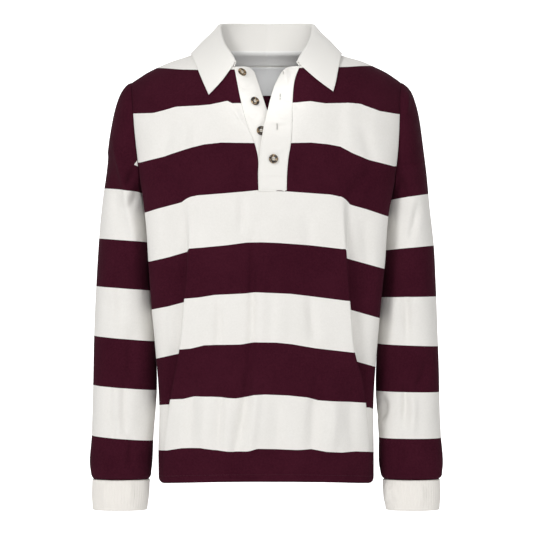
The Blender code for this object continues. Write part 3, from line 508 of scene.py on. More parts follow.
def sleeve_grid(side, w, head_steps, rows):
    """Rows of the sleeve from the armhole to the cuff; w runs round it from 0 to 2."""
    levels = SLEEVE_RIGHT if side < 0 else SLEEVE_LEFT
    way = 180 * w
    fold = 180 - np.abs(180 - way)
    a = armhole_loop(side, w)
    e = tube_ring(levels, side, way, np.full(w.shape, float(rows[0])))
    get = {name: read(SLEEVE_HEAD, name, fold) for name in SLEEVE_HEAD if name != "way"}
    fore = -np.sin(np.radians(way)) * get["leave_fore"]
    b = a + np.stack([side * get["leave_out"], fore, -get["leave_down"]], -1)
    c = e + np.stack([-side * get["arrive_in"], 0 * fore, get["arrive_up"]], -1)
    grid = []
    for s in np.linspace(0, 1, head_steps + 1)[:-1]:
        s = s**1.15
        grid.append(
            (1 - s) ** 3 * a + 3 * s * (1 - s) ** 2 * b + 3 * s**2 * (1 - s) * c + s**3 * e
        )
    grid += [tube_ring(levels, side, way, np.full(w.shape, float(z))) for z in rows]
    return np.array(grid)


# ---------------------------------------------------------------------------
# Collar: a stand up from the neckline, a soft fold, and a leaf that falls outside.  along
# runs from the front end (0) past the shoulder seam (0.47) to the middle of the back (1).
# The fold's columns give its visible top; the edge's give where the leaf lies on the body.
COLLAR = table(
    "along fold_x fold_y fold_z edge_x edge_z left_edge_x left_edge_z",
    (0, 47.5, -85, -15, 86.8, -68.5, 100.5, -63.3),
    (0.113, 54, -72, -3, 94.2, -52.2, 104.7, -48.3),
    (0.226, 62.5, -53, 11, 101.3, -35.4, 107.7, -32.9),
    (0.327, 68, -33, 23, 107.5, -20.5, 110.6, -19.0),
    (0.43, 71.5, -10, 35.5, 113.8, -5.5, 114.2, -5.2),
    (0.47, 72.5, 0, 39.5, 116, 0, 116, 0),
    (0.594, 73, 24, 51, 110, -3, 110, -3),
    (0.729, 62, 48, 54.8, 92, -10, 92, -10),
    (0.865, 38, 66, 56.6, 52, -13, 52, -13),
    (1, 0, 73, 56.3, 0, -13, 0, -13),
)
COLLAR_AT_SHOULDER = 0.47
COLLAR_WALL = 2.0
FOLD_RADIUS = 2.4
FOLD_RADIUS_AT_END = 0.3  # as a share, at the collar's front end
FOLD_WIDENS = 0.1  # share of the collar's half-length over which the fold gets its full radius
LEAF_LIFT = 1.6  # the least that the leaf's hidden face keeps off the body
LEAF_BOW = 1.5
END_BOW = 4.0
END_BOW_REACH = 0.1
END_BOW_WAY = (-0.77, 0, -0.64)
STAND_STEPS = 12
FOLD_STEPS = 9
LEAF_STEPS = 24


def above_body(p):
    """Rough distance of points near the shoulders from the body's outer face."""

    def level(q):
        x, y, z = q[..., 0], q[..., 1], q[..., 2]
        forward = y < read(SHOULDER, "y", np.abs(x))
        foot, rise = slope_foot(x, forward)
        half = np.where(x > 0, read(SECTIONS, "left", z), read(SECTIONS, "right", z))
        side = (1 - np.clip(np.abs(x) / half, 0, 0.999) ** SQUARENESS) ** (1 / SQUARENESS)
        depth = np.where(forward, -read(SECTIONS, "front", z), read(SECTIONS, "back", z))
        k = np.clip((z - foot) / rise, 0, 2)
        ridge = read(SHOULDER, "y", np.abs(x)) * k**2
        return np.clip((y - ridge) / (depth * side - ridge), 0, None) ** DOME + k**DOME - 1

    value = level(p)
    slope = [
        (level(p + step) - level(p - step)) / 0.8 for step in 0.4 * np.eye(3)
    ]
    slope = np.stack(slope, -1)
    size = np.linalg.norm(slope, axis=-1)
    return value / size, slope / size[..., None]


def kept_off(p, least):
    """Points moved out until they are the least distance off the body."""
    for _ in range(4):
        gap, way = above_body(p)
        p = p + way * np.clip(least - gap, 0, None)[..., None]
    return p


def collar_lines(side, along, seam):
    """Lines across the collar's hidden face, each with its seam, stand, fold and leaf."""
    up = np.array([0.0, 0.0, 1.0])
    fold = np.stack([read(COLLAR, "fold_" + axis, along) for axis in "xyz"], -1) * (side, 1, 1)
    name = "left_edge_" if side > 0 else "edge_"
    x, z = side * read(COLLAR, name + "x", along), read(COLLAR, name + "z", along)
    forward = (along < COLLAR_AT_SHOULDER)[:, None]
    tc = np.where(forward, place(x, z, True), place(x, z, False))
    edge = kept_off(body(tc[:, 0], climb_to_z(tc[:, 0], tc[:, 1])), LEAF_LIFT)
    out = unit((edge - fold) * (1, 1, 0))
    full = FOLD_RADIUS_AT_END + (1 - FOLD_RADIUS_AT_END) * ease(along / FOLD_WIDENS)
    radius = FOLD_RADIUS * full[:, None]
    centre = fold - up * (COLLAR_WALL + radius)
    fall = np.arctan2(centre[:, 2] - edge[:, 2], np.linalg.norm((edge - centre)[:, :2], axis=1))
    last = (math.pi / 2 + fall)[:, None]
    turn = [centre + radius * (-np.cos(s * last) * out + np.sin(s * last) * up)
            for s in np.linspace(0, 1, FOLD_STEPS)]
    stand = [seam + (turn[0] - seam) * s for s in np.linspace(0, 1, STAND_STEPS + 1)[:-1]]
    near_end = np.exp(-((along / END_BOW_REACH) ** 2))[:, None]
    bow = LEAF_BOW * (1 - near_end) * (out + 0.5 * up)
    bow = bow + END_BOW * near_end * (np.array(END_BOW_WAY) * (side, 1, 1))
    leaf = []
    for s in np.linspace(0, 1, LEAF_STEPS + 1)[1:]:
        p = turn[-1] + (edge - turn[-1]) * s + bow * math.sin(math.pi * s)
        leaf.append(kept_off(p, LEAF_LIFT))
    return np.array(stand + turn + leaf)


# ---------------------------------------------------------------------------
# Placket strips: each runs down beside its edge of the front.  The free edges meet low
# down, where the buttonhole strip laps over the button strip, and fall open above.
# free is a free edge's x, and off how far it stands proud of the body, or behind it.
PLACKET = table(
    "z over_free over_off under_free under_off",
    (-212, -12.0, 2.9, 28.3, -2.9),
    (-165, -11.0, 2.9, 28.3, -2.9),
    (-150, -9.5, 3.6, 25.8, -3.0),
    (-135, -7.2, 6.4, 21.0, -3.2),
    (-119, -4.5, 7.6, 13.5, -4.2),
    (-91, 1.5, 1.0, 1.5, -12),
    (-70, 6.5, -9, -5.3, -20),
    (-52, 12.2, -18, -11, -26),
    (-22, 27.5, -29, -21.4, -32),
)


def placket_point(side, x, z):
    """A point of a strip's outer face: side 1 is the buttonhole strip, -1 the button strip."""
    x, z = np.broadcast_arrays(np.asarray(x, float), np.asarray(z, float))
    kind = "over" if side > 0 else "under"
    seam = read(PLACKET_SEAMS, "left" if side > 0 else "right", z)
    free, off = read(PLACKET, kind + "_free", z), read(PLACKET, kind + "_off", z)
    share = (x - seam) / (free - seam)
    tc = place(x, z, True)
    base = body(tc[..., 0], climb_to_z(tc[..., 0], tc[..., 1]))
    share = np.clip(share, 0, 1)
    bend = np.where(np.abs(off) > 7, share**1.6, share)
    base[..., 1] -= off * bend
    return base


# ---------------------------------------------------------------------------
# Stripes.  Each edge is a row of (x, z) points as seen from the front: past the fold on the
# wearer's right, between the folds, and past the fold on the left.
STRIPE = 78.0
FRONT_EDGES = (
    ((),
     ((-227.8, -18.6), (-167.6, -19.2), (-107, -22.9), (113.2, -17.5), (167.4, -16.3),
      (221.7, -15.5)),
     ()),
    ((),
     ((-207.7, -89.9), (-175.2, -89.1), (-160.4, -85.2), (-141.1, -79), (-105.4, -77.5),
      (-87.6, -76), (-72.9, -72.9), (-60.5, -69.8), (-52.7, -74.4), (-38.8, -73.5),
      (40.3, -72.9), (68.2, -70.8), (91.5, -74.1), (127.1, -72.9), (145.7, -74.4),
      (161.2, -80.6), (175.2, -86.2), (203.1, -90.7)),
     ()),
    ((),
     ((-195.3, -165.8), (-160.4, -156.6), (-114.7, -142), (-96.1, -137.5), (-69.8, -134.8),
      (-18.6, -135.5), (38.8, -135.5), (69.8, -134.8), (96.1, -137.5), (114.7, -141.1),
      (133.3, -151.1), (158.1, -161.2), (196.8, -171.6)),
     ()),
    (((-187.6, -243.3), (-167.9, -237.2), (-123.4, -225.5), (-113.2, -223.2)),
     ((-116.2, -218.6), (-107.4, -216.7), (-69.8, -213.9), (-34.1, -210.8), (-14, -208.6),
      (31, -210.5), (66.7, -213.1), (99.2, -215.5), (113.2, -218.6)),
     ((110, -223.2), (116.2, -225.5), (129.4, -231), (156.6, -238.7), (189.1, -249.6))),
    (((-180.7, -319.3), (-153.5, -313.1), (-127.1, -305.4), (-116.2, -302.2)),
     ((-118.1, -299.2), (-98.4, -297.6), (-61.1, -294), (-31, -289.9), (-7.8, -289.5),
      (18.6, -290.5), (66.7, -294), (85.2, -296.1), (117, -299.9)),
     ((119.4, -313.1), (147.2, -320.9), (181.3, -330.2))),
    (((-178.2, -393.7), (-153.5, -389.1), (-127.1, -382.1)),
     ((-124.8, -376.7), (-105.4, -375.1), (-80.6, -371.1), (-34.1, -368.9), (-17.1, -367),
      (37.2, -369.4), (66.7, -372.9), (125.5, -380.4)),
     ((128.7, -393.7), (175.2, -407))),
    (((-170.5, -469.7), (-134.8, -461.9)),
     ((-134.1, -455.7), (-117, -454.2), (-96.1, -449), (-40.3, -447.9), (-18.6, -444.5),
      (15.5, -444.9), (38.8, -447.3), (74.4, -453.5), (133.3, -460.4)),
     ((138, -473.7), (169, -482.7))),
    (((-165.8, -541.7), (-155, -541)),
     ((-153.5, -533.2), (-130.2, -532.6), (-113.2, -528.6), (-85.2, -528.6), (-48.8, -531.6),
      (-32.6, -529.8), (-19.2, -526.2), (-1.6, -525.5), (34.1, -527), (64.3, -530.1),
      (80.6, -534.8), (159.7, -538.6)),
     ((159.7, -545.6), (169, -548.7))),
    ((),
     ((-167.4, -611.6), (-155, -612.2), (-132.5, -608.8), (-102.3, -608.4), (-81.2, -611.5),
      (-52.7, -614.7), (-27.1, -613.2), (-14, -609.6), (24.2, -610.7), (47.4, -611.6),
      (70.5, -610.4), (93.6, -614.3), (116.9, -615.4), (139.5, -613.8), (165.8, -614.3)),
     ()),
)
BACK_EDGES = table(
    "edge right middle left",
    (0, -17, -20, -16),
    (1, -90, -97, -91),
    (2, -166, -174, -172),
    (3, -243, -250, -249),
    (4, -319, -325, -330),
    (5, -393, -399, -407),
    (6, -469, -473, -482),
    (7, -541, -546, -548),
    (8, -611, -616, -614),
)
SLEEVE_EDGES = table(
    "edge right_outer right_inner left_outer left_inner",
    (1, -206.2, -213.9, -214.8, -225.5),
    (2, -283.7, -289.9, -294.5, -302.2),
    (3, -357.3, -364.2, -373.2, -374.3),
    (4, -434.0, -442.5, -450.3, -446.4),
    (5, -509.9, -517.7, -520.8, -518.9),
    (6, -587.5, -595.2, -591.3, -590.6),
)


def seen(p):
    """Where the camera in front sees a point, in the middle plane."""
    near = CAMERA_FAR / (CAMERA_FAR + p[..., 1])
    return np.stack([p[..., 0] * near, CAMERA_Z + (p[..., 2] - CAMERA_Z) * near], -1)


def cloth_length(z, edges):
    """Length along the cloth down from the first edge, with all stripes STRIPE wide."""
    s = edges[0] - z
    for i, (upper, lower) in enumerate(zip(edges, edges[1:])):
        s = np.where(z < upper, (i + (upper - z) / (upper - lower)) * STRIPE, s)
    return np.where(z < edges[-1], (len(edges) - 1) * STRIPE + edges[-1] - z, s)


def follow(x, points):
    return np.interp(x, [p[0] for p in points], [p[1] for p in points])


def front_length(q, past):
    heights = []
    for right, middle, left in FRONT_EDGES:
        inner = follow(q[..., 0], middle)
        outer = inner
        if right:
            outer = np.where(q[..., 0] < 0, follow(q[..., 0], right), follow(q[..., 0], left))
        share = np.clip(past / read(LIP_WIDTHS, "width", q[..., 1]), 0, 1)
        heights.append(inner + (outer - inner) * share)
    return cloth_length(q[..., 1], heights)


def back_length(p):
    across = np.clip(p[..., 0] / 190, -1, 1)
    side = np.where(across[..., None] < 0, BACK_EDGES["right"], BACK_EDGES["left"])
    heights = BACK_EDGES["middle"] + (side - BACK_EDGES["middle"]) * across[..., None] ** 2
    return cloth_length(p[..., 2], list(np.moveaxis(heights, -1, 0)))


def sleeve_length(side, p, way):
    name = "right" if side < 0 else "left"
    share = (1 - np.cos(np.radians(way))) / 2
    inner, outer = SLEEVE_EDGES[name + "_inner"], SLEEVE_EDGES[name + "_outer"]
    heights = [a + (b - a) * share for a, b in zip(inner, outer)]
    return np.maximum(STRIPE + cloth_length(p[..., 2], heights), 1.0)


# ---------------------------------------------------------------------------
# Creases: soft troughs (depth below 0) and ridges, and edges, where one side stands proud.
FRONT_CREASES = (
    ("edge", 2.2, 1.4, ((-58.9, -69), (-45.9, -96.1), (-27.9, -117), (-20.9, -133.3))),
    ("soft", 7, -1.3, ((-38.8, -214), (-38, -245), (-41, -280))),
    ("soft", 11, -1.0, ((-104, -222), (-106, -262), (-104, -296))),
    ("soft", 6, -1.7, ((-74, -366), (-74.6, -410), (-77, -466))),
    ("soft", 5, -1.9, ((-22, -262), (-23, -330), (-22.5, -400), (-26, -470), (-31, -530))),
    ("soft", 9, 1.0, ((-8, -330), (-6, -400), (-8, -470))),
    ("soft", 12, 0.9, ((18, -368), (20, -410), (14, -456))),
    ("soft", 8, -1.5, ((68, -362), (70, -402), (74, -446))),
    ("soft", 9, 0.8, ((-104, -372), (-108, -410), (-112, -456))),
    ("edge", 2.5, 0.9, ((-151.9, -372), (-152.5, -420), (-151.9, -462))),
    ("soft", 7, -3.0, ((-27, -480), (-32, -528), (-38, -566), (-47, -611), (-56, -646))),
    ("soft", 8, 1.7, ((-15, -500), (-18, -545), (-25, -600), (-34, -645))),
    ("soft", 5, -1.8, ((-70, -505), (-73, -548), (-76, -622))),
    ("soft", 7, 1.1, ((-58, -510), (-59, -560), (-64, -620))),
    ("soft", 10, -2.3, ((-116, -500), (-119, -560), (-122, -620))),
    ("soft", 9, 1.2, ((-92, -510), (-94, -560), (-98, -625))),
    ("soft", 12, -1.3, ((14, -525), (16, -570), (12, -626))),
    ("soft", 10, -2.3, ((80, -490), (74, -552), (70, -630))),
    ("soft", 10, 1.3, ((104, -520), (105, -565), (98, -620))),
    ("soft", 11, -1.2, ((136, -500), (132, -560), (136, -630))),
    ("soft", 12, -1.2, ((62, -240), (66, -290), (60, -340))),
    ("soft", 10, -1.2, ((150, -105), (158, -140), (168, -178))),
    ("soft", 10, -1.2, ((-146, -100), (-156, -135), (-166, -170))),
    ("soft", 9, 0.9, ((-120, -96), (-126, -130), (-132, -160))),
    ("soft", 8, -1.4, ((172, -178), (150, -192), (128, -222))),
    ("soft", 8, -1.2, ((-170, -176), (-150, -190), (-124, -218))),
    ("soft", 9, -1.2, ((-160, -230), (-148, -300), (-152, -350))),
    ("soft", 9, -1.2, ((150, -250), (156, -320), (152, -380))),
    ("soft", 7, -0.8, ((24, -60), (40, -75), (60, -84))),
    ("soft", 8, -1.1, ((-72, -44), (-60, -58), (-52, -74))),
)
BACK_CREASES = (
    ("soft", 12, -2.4, ((-58, -96), (-52, -180), (-60, -290))),
    ("soft", 14, -2.2, ((46, -120), (52, -210), (44, -330))),
    ("soft", 11, 1.6, ((-12, -150), (-8, -230), (-14, -300))),
    ("soft", 10, -2.2, ((-176, -150), (-150, -190), (-116, -236))),
    ("soft", 10, -2.6, ((178, -155), (154, -188), (112, -228))),
    ("soft", 9, -1.6, ((-172, -190), (-142, -222), (-102, -280))),
    ("soft", 9, -1.6, ((174, -196), (146, -234), (110, -300))),
    ("soft", 12, -2.6, ((-88, -330), (-96, -430), (-92, -560))),
    ("soft", 13, -2.4, ((20, -370), (12, -470), (20, -610))),
    ("soft", 11, -2.8, ((98, -350), (106, -450), (100, -600))),
    ("soft", 12, 1.8, ((64, -420), (60, -500), (66, -600))),
    ("soft", 10, -1.8, ((-36, -450), (-40, -540), (-34, -640))),
    ("soft", 10, 1.6, ((-130, -420), (-134, -520), (-128, -630))),
    ("soft", 14, -1.4, ((-150, -60), (-100, -84), (-40, -92))),
    ("soft", 14, -1.4, ((150, -56), (104, -80), (48, -94))),
)
SLEEVE_CREASES = {
    (-1, "front"): (
        ("edge", 3.0, 2.2, ((-241.8, -120.9), (-234.8, -158.1), (-227.1, -189.1), (-218.7, -240.2),
                            (-211.6, -288.3), (-209, -330))),
        ("soft", 11, -2.2, ((-246, -150), (-240, -190), (-232, -240), (-224, -292))),
        ("edge", 1.2, -1.0, ((-236, -162), (-220, -165.5), (-205, -170))),
        ("soft", 6, -1.6, ((-206, -176), (-216, -200), (-232, -214))),
        ("soft", 7, -1.4, ((-200, -205), (-208, -226), (-222, -244))),
        ("soft", 8, -1.6, ((-236, -330), (-228, -380), (-232, -430))),
        ("soft", 8, -1.2, ((-205, -420), (-212, -470), (-206, -510))),
        ("soft", 6, -1.9, ((-219, -500), (-221, -545), (-219, -596))),
        ("soft", 6, -1.3, ((-244, -490), (-243, -540), (-246, -586))),
        ("soft", 6, -1.5, ((-250, -610), (-240, -590), (-236, -560))),
        ("soft", 6, -1.3, ((-214, -640), (-210, -612), (-212, -580))),
    ),
    (1, "front"): (
        ("soft", 5, 1.6, ((218.6, -54.2), (217, -72.9), (215.5, -93))),
        ("edge", 1.3, -1.1, ((202, -178), (222, -171), (245, -166))),
        ("soft", 6, -1.8, ((237.2, -226), (230, -256), (222, -290))),
        ("soft", 7, -2.2, ((214, -360), (217, -400), (219, -452))),
        ("soft", 6, -2.6, ((213, -500), (215, -540), (212, -578))),
        ("soft", 7, -1.5, ((206, -186), (214, -212), (226, -226))),
        ("soft", 6, -2.2, ((178, -528), (182, -546), (176, -566))),
        ("soft", 6, 1.3, ((226, -512), (228, -552), (226, -600))),
        ("soft", 7, 1.2, ((198, -372), (200, -410), (196, -450))),
        ("soft", 7, -1.6, ((250, -470), (240, -505), (222, -530))),
        ("soft", 6, -1.4, ((206, -640), (210, -612), (208, -584))),
    ),
    (-1, "back"): (
        ("soft", 9, -2.4, ((-204, -150), (-222, -190), (-240, -214))),
        ("soft", 9, -2.2, ((-200, -220), (-216, -262), (-238, -290))),
        ("soft", 9, -2.4, ((-190, -390), (-214, -424), (-244, -440))),
        ("soft", 8, -2.0, ((-196, -440), (-216, -466), (-246, -474))),
        ("soft", 8, -1.6, ((-222, -540), (-226, -590), (-218, -640))),
        ("soft", 7, -1.4, ((-244, -570), (-240, -610), (-244, -645))),
    ),
    (1, "back"): (
        ("soft", 9, -2.6, ((202, -145), (224, -180), (244, -210))),
        ("soft", 9, -2.0, ((198, -228), (220, -254), (240, -270))),
        ("soft", 9, -2.6, ((188, -400), (216, -420), (246, -446))),
        ("soft", 8, -1.8, ((194, -452), (218, -480), (240, -492))),
        ("soft", 8, -1.8, ((214, -546), (220, -600), (216, -642))),
        ("soft", 7, -1.2, ((240, -560), (244, -600), (238, -640))),
    ),
}
CUFF_CREASES = {
    -1: (
        ("soft", 6, -0.8, ((-248, -660), (-250, -680), (-247, -700))),
        ("soft", 5, -0.6, ((-214, -658), (-211, -676), (-213, -694))),
    ),
    1: (
        ("soft", 5, -1.5, ((186, -662), (191, -674), (189, -692))),
        ("soft", 5, -1.2, ((200, -660), (199, -676), (204, -690))),
        ("soft", 6, -0.8, ((236, -664), (240, -680), (238, -698))),
    ),
}
PLACKET_CREASES = {
    1: (
        ("soft", 2.6, 0.9, ((33, -20), (37, -27), (41, -40))),
        ("soft", 2.4, -0.9, ((28, -22), (31, -34), (30, -46))),
        ("soft", 3.0, -0.6, ((22, -58), (28, -66), (36, -70))),
        ("soft", 3.0, 0.6, ((14, -92), (22, -97), (34, -95))),
        ("soft", 3.2, -0.6, ((10, -104), (20, -110), (33, -108))),
        ("soft", 3.0, 0.5, ((8, -142), (18, -147), (28, -143))),
    ),
    -1: (
        ("soft", 2.6, -0.7, ((-42, -46), (-32, -50), (-20, -46))),
        ("soft", 2.8, 0.7, ((-38, -62), (-28, -64), (-14, -60))),
        ("soft", 2.8, -0.7, ((-30, -92), (-20, -97), (-10, -92))),
        ("soft", 2.6, 0.6, ((-26, -106), (-17, -110), (-9, -106))),
    ),
}
CREASE_DEPTH = 3.0  # on the depths above
EDGE_REACH = 5.0  # how far an edge's proud side reaches, in its widths
RIPPLE = (  # height, wave length across, wave length down, phase
    (0.35, 140, 420, 0.4),
    (0.30, 86, 560, 2.1),
    (0.22, -61, 240, 4.0),
    (0.16, 37, -170, 1.2),
)


def smooth_line(points):
    """A line through the points with no sharp corners."""
    ends = np.concatenate([2 * points[:1] - points[1:2], points, 2 * points[-1:] - points[-2:-1]])
    line = []
    for a, b, c, d in zip(ends, ends[1:], ends[2:], ends[3:]):
        for s in (0, 0.25, 0.5, 0.75):
            curve = s * (2 * a - 5 * b + 4 * c - d + s * (3 * (b - c) + d - a))
            line.append(b + 0.5 * s * (c - a + curve))
    return np.array(line + [points[-1]])


def creases(q, rows):
    """Height added to the cloth at places q by a table of creases."""
    total = np.zeros(q.shape[:-1])
    for kind, width, depth, points in rows:
        points = smooth_line(np.array(points, float))
        lengths = np.linalg.norm(np.diff(points, axis=0), axis=1)
        before = np.concatenate([[0], np.cumsum(lengths)])
        best = np.full(total.shape, 1e9)
        along = np.zeros(total.shape)
        turned = np.zeros(total.shape)
        for i, (a, b) in enumerate(zip(points, points[1:])):
            ab = (b - a) / lengths[i]
            away = q - a
            s = np.clip(away @ ab, 0, lengths[i])
            d = np.linalg.norm(away - s[..., None] * ab, axis=-1)
            nearer = d < best
            best = np.where(nearer, d, best)
            along = np.where(nearer, (before[i] + s) / before[-1], along)
            turned = np.where(nearer, ab[0] * away[..., 1] - ab[1] * away[..., 0], turned)
        taper = np.sin(math.pi * np.clip(along, 0.0, 1.0)) ** 0.7
        if kind == "soft":
            total += depth * taper * np.exp(-((best / width) ** 2))
        else:
            step = 0.5 + 0.5 * np.tanh(np.sign(turned) * best / width)
            total += depth * taper * step * np.exp(-((best / (EDGE_REACH * width)) ** 2))
    return CREASE_DEPTH * total


def ripple(q):
    total = np.zeros(q.shape[:-1])
    for height, across, down, phase in RIPPLE:
        total += height * np.sin(2 * math.pi * (q[..., 0] / across + q[..., 1] / down) + phase)
    return total


# ---------------------------------------------------------------------------
# Cloth pieces


SEAM_GAP = 0.32


def everywhere(points):
    return points[:, 2] > -1e9


def above_hem(points):
    return points[:, 2] > HEM_Z + 14


class Cloth:
    """Points of a piece's outer face, its four-sided faces and each point's place in the knit."""

    def __init__(self, name, node):
        self.name = name
        self.node = node
        self.points = np.zeros((0, 3))
        self.knit = np.zeros((0, 3))
        self.faces = np.zeros((0, 4), int)

    def add_points(self, grid, knit):
        ids = np.arange(grid[..., 0].size).reshape(grid.shape[:-1]) + len(self.points)
        self.points = np.vstack([self.points, grid.reshape(-1, 3)])
        self.knit = np.vstack([self.knit, knit.reshape(-1, 3)])
        return ids

    def add_faces(self, ids, flip=False, closed=False):
        if closed:
            ids = np.hstack([ids, ids[:, :1]])
        a, b, c, d = ids[:-1, :-1], ids[:-1, 1:], ids[1:, 1:], ids[1:, :-1]
        quads = np.stack([a, d, c, b] if flip else [a, b, c, d], -1).reshape(-1, 4)
        self.faces = np.vstack([self.faces, quads])

    def normals(self):
        p = self.points[self.faces]
        n = np.cross(p[:, 2] - p[:, 0], p[:, 3] - p[:, 1])
        total = np.zeros_like(self.points)
        for corner in range(4):
            np.add.at(total, self.faces[:, corner], n)
        return unit(total)

    def area(self):
        p = self.points[self.faces]
        halves = np.cross(p[:, 2] - p[:, 0], p[:, 3] - p[:, 1])
        return np.linalg.norm(halves, axis=1).sum() / 2 * MM * MM

    def border(self):
        """Open edges in the faces' order, and the way out of the cloth at their points."""
        a = self.faces.ravel()
        b = np.roll(self.faces, -1, axis=1).ravel()
        key = a * len(self.points) + b
        back = b * len(self.points) + a
        free = ~np.isin(key, back)
        a, b = a[free], b[free]
        n = self.normals()
        out = np.zeros_like(self.points)
        way = np.cross(unit(self.points[b] - self.points[a]), n[a])
        np.add.at(out, a, way)
        np.add.at(out, b, way)
        return a, b, unit(out)

    def from_border(self, keep=everywhere):
        """Distance of each point from the open edges, or from some of them."""
        ids = np.unique(self.border()[0])
        ids = ids[keep(self.points[ids])]
        tree = KDTree(len(ids))
        for i, p in enumerate(self.points[ids]):
            tree.insert(p, i)
        tree.balance()
        return np.array([tree.find(p)[2] for p in self.points])

    def raise_by(self, height):
        self.points = self.points + self.normals() * height[:, None]


def shell(cloth, wall, looks, rounded=0.12):
    """The piece with its thickness: outer face, inner face and a rounded rim, set in a little
    so that two pieces leave a fine line at their seam."""
    outer = cloth.points.copy()
    n = cloth.normals()
    a, b, out = cloth.border()
    rim = np.unique(np.concatenate([a, b]))
    outer[rim] -= out[rim] * (wall * rounded + SEAM_GAP / 4)
    inner = outer - n * wall
    middle = (outer[rim] + inner[rim]) / 2 + out[rim] * wall * rounded
    count = len(outer)
    where = {int(r): 2 * count + i for i, r in enumerate(rim)}
    faces = cloth.faces.tolist() + (cloth.faces[:, ::-1] + count).tolist()
    for i, j in zip(a.tolist(), b.tolist()):
        faces.append((j, i, where[i], where[j]))
        faces.append((where[j], where[i], i + count, j + count))
    knit = np.vstack([cloth.knit, cloth.knit, cloth.knit[rim]])
    piece = make_mesh(cloth.name, np.vstack([outer, inner, middle]), faces, looks, knit)
    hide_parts(cloth.node)
    cloth.points = outer
    return piece


def make_mesh(name, points, faces, looks, knit=None):
    mesh = bpy.data.meshes.new(name)
    mesh.from_pydata((np.asarray(points) * MM).tolist(), [], faces)
    if knit is not None:
        layer = mesh.attributes.new("cloth", "FLOAT_VECTOR", "POINT")
        layer.data.foreach_set("vector", np.asarray(knit, float).ravel())
    mesh.materials.append(looks)
    mesh.shade_smooth()
    mesh.update()
    piece = bpy.data.objects.new(name, mesh)
    bpy.context.scene.collection.objects.link(piece)
    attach(piece, "root")
    return piece


def cells(*parts):
    """Values from the first part's start on, each part given as (start, end, cells)."""
    out = [parts[0][0]]
    for start, end, count in parts:
        out += list(np.linspace(start, end, count + 1)[1:])
    return np.array(out)


COLUMNS = cells(
    (0, 0.02, 4), (0.02, FOLD_FOOT, 34), (FOLD_FOOT, HIGH_POINT, 4),
    (HIGH_POINT, FOLD_LIP, 4), (FOLD_LIP, 0.98, 38), (0.98, 1, 4),
)
TOP_ROWS = cells((0, 0.02, 4), (0.02, 0.97, 74), (0.97, 1, 5))
LOW_ROWS = 132
MIDDLE_COLUMNS = 14  # under the placket
CLOTH = 1.6
SEAM_DIP = 0.35
SEAM_WIDTH = 3.2
FADE = 9.0


def settle(cloth, height, sewn=everywhere):
    """Raises the creases, but less near the edges, and draws the cloth in at its seams."""
    d = cloth.from_border()
    dip = SEAM_DIP * np.exp(-((cloth.from_border(sewn) / SEAM_WIDTH) ** 2))
    cloth.raise_by(height * ease(d / FADE) - dip)


def make_front():
    front = Cloth("front_jersey", "front")
    share = np.linspace(0, 1, LOW_ROWS + 1)[:, None]
    halves = []
    for side in (-1, 1):
        level = HEM_Z + (UNDERARM_Z - HEM_Z) * share
        t = chest_row(side, COLUMNS[None], level + 0 * COLUMNS[None])
        for _ in range(3):
            z = hem_z(t) * (1 - share) + chest_z(t) * share
            t = chest_row(side, COLUMNS[None], z)
        halves.append(np.stack([t, z], -1))
    a, b = halves[0][:, -1:], halves[1][:, -1:]
    middle = a + (b - a) * np.linspace(0, 1, MIDDLE_COLUMNS)[None, 1:-1, None]
    grid = np.concatenate([halves[0], middle, halves[1][:, ::-1]], axis=1)
    low = add_front_points(front, grid[..., 0], grid[..., 1])
    front.add_faces(low)
    n = len(COLUMNS)
    for side in (-1, 1):
        t, z = front_half_top(side, COLUMNS, TOP_ROWS)
        first = low[-1, :n] if side < 0 else low[-1, ::-1][:n]
        ids = np.vstack([first[None], add_front_points(front, t[1:], z[1:])])
        front.add_faces(ids, flip=side > 0)
    front.points = turned_hem(front.points)
    q = seen(front.points)
    settle(front, creases(q, FRONT_CREASES) + ripple(q), above_hem)
    return front, low


def add_front_points(front, t, z):
    p = folded(t, z)
    past = fold_past(t, z)
    q = seen(p)
    knit = np.stack([q[..., 0], front_length(q, past), np.zeros(past.shape)], -1)
    return front.add_points(p, knit)


def make_back():
    back = Cloth("back_jersey", "back")
    half = cells((0, 0.5, 42), (0.5, 0.985, 40), (0.985, 1, 4))
    u = np.concatenate([-half[::-1], half[1:]])
    t = np.where(u < 0, -1, 1) * np.maximum(180 - 90 * np.abs(u), JUST_BACK)
    rows = np.linspace(HEM_Z, UNDERARM_Z, LOW_ROWS + 1)[:-1]
    share = ((rows - HEM_Z) / (UNDERARM_Z - HEM_Z))[:, None]
    grid = body(t[None], HEM_Z * (1 - share) + chest_z(t)[None] * share)
    grid = np.vstack([grid, back_top(u, TOP_ROWS)])
    knit = np.stack([grid[..., 0], back_length(grid), np.zeros(grid.shape[:-1])], -1)
    ids = back.add_points(grid, knit)
    back.add_faces(ids, flip=True)
    back.points = turned_hem(back.points)
    q = back.points[:, (0, 2)]
    settle(back, creases(q, BACK_CREASES) + ripple(q + 300), above_hem)
    return back, ids


# Where a corner of the body's white stripe shows past the armhole seam, by its three points.
WHITE_CORNER = {
    -1: ((-196.5, -157.5), (-205.5, -169.3), (-195.0, -173.5)),
    1: ((199.0, -176.0), (201.0, -179.5), (197.5, -179.5)),
}
SLEEVE_HEAD_STEPS = 40
HALF_ROUND_ARM = 260.0  # half the knit's length round the arm


def within(q, corners):
    """How deep places q lie inside a triangle, below 0 outside it."""
    corners = np.array(corners, float)
    middle = corners.mean(0)
    depths = []
    for a, b in zip(corners, np.roll(corners, -1, axis=0)):
        n = np.array([b[1] - a[1], a[0] - b[0]]) / np.linalg.norm(b - a)
        n = n * np.sign((middle - a) @ n)
        depths.append((q - a) @ n)
    return np.min(depths, axis=0)


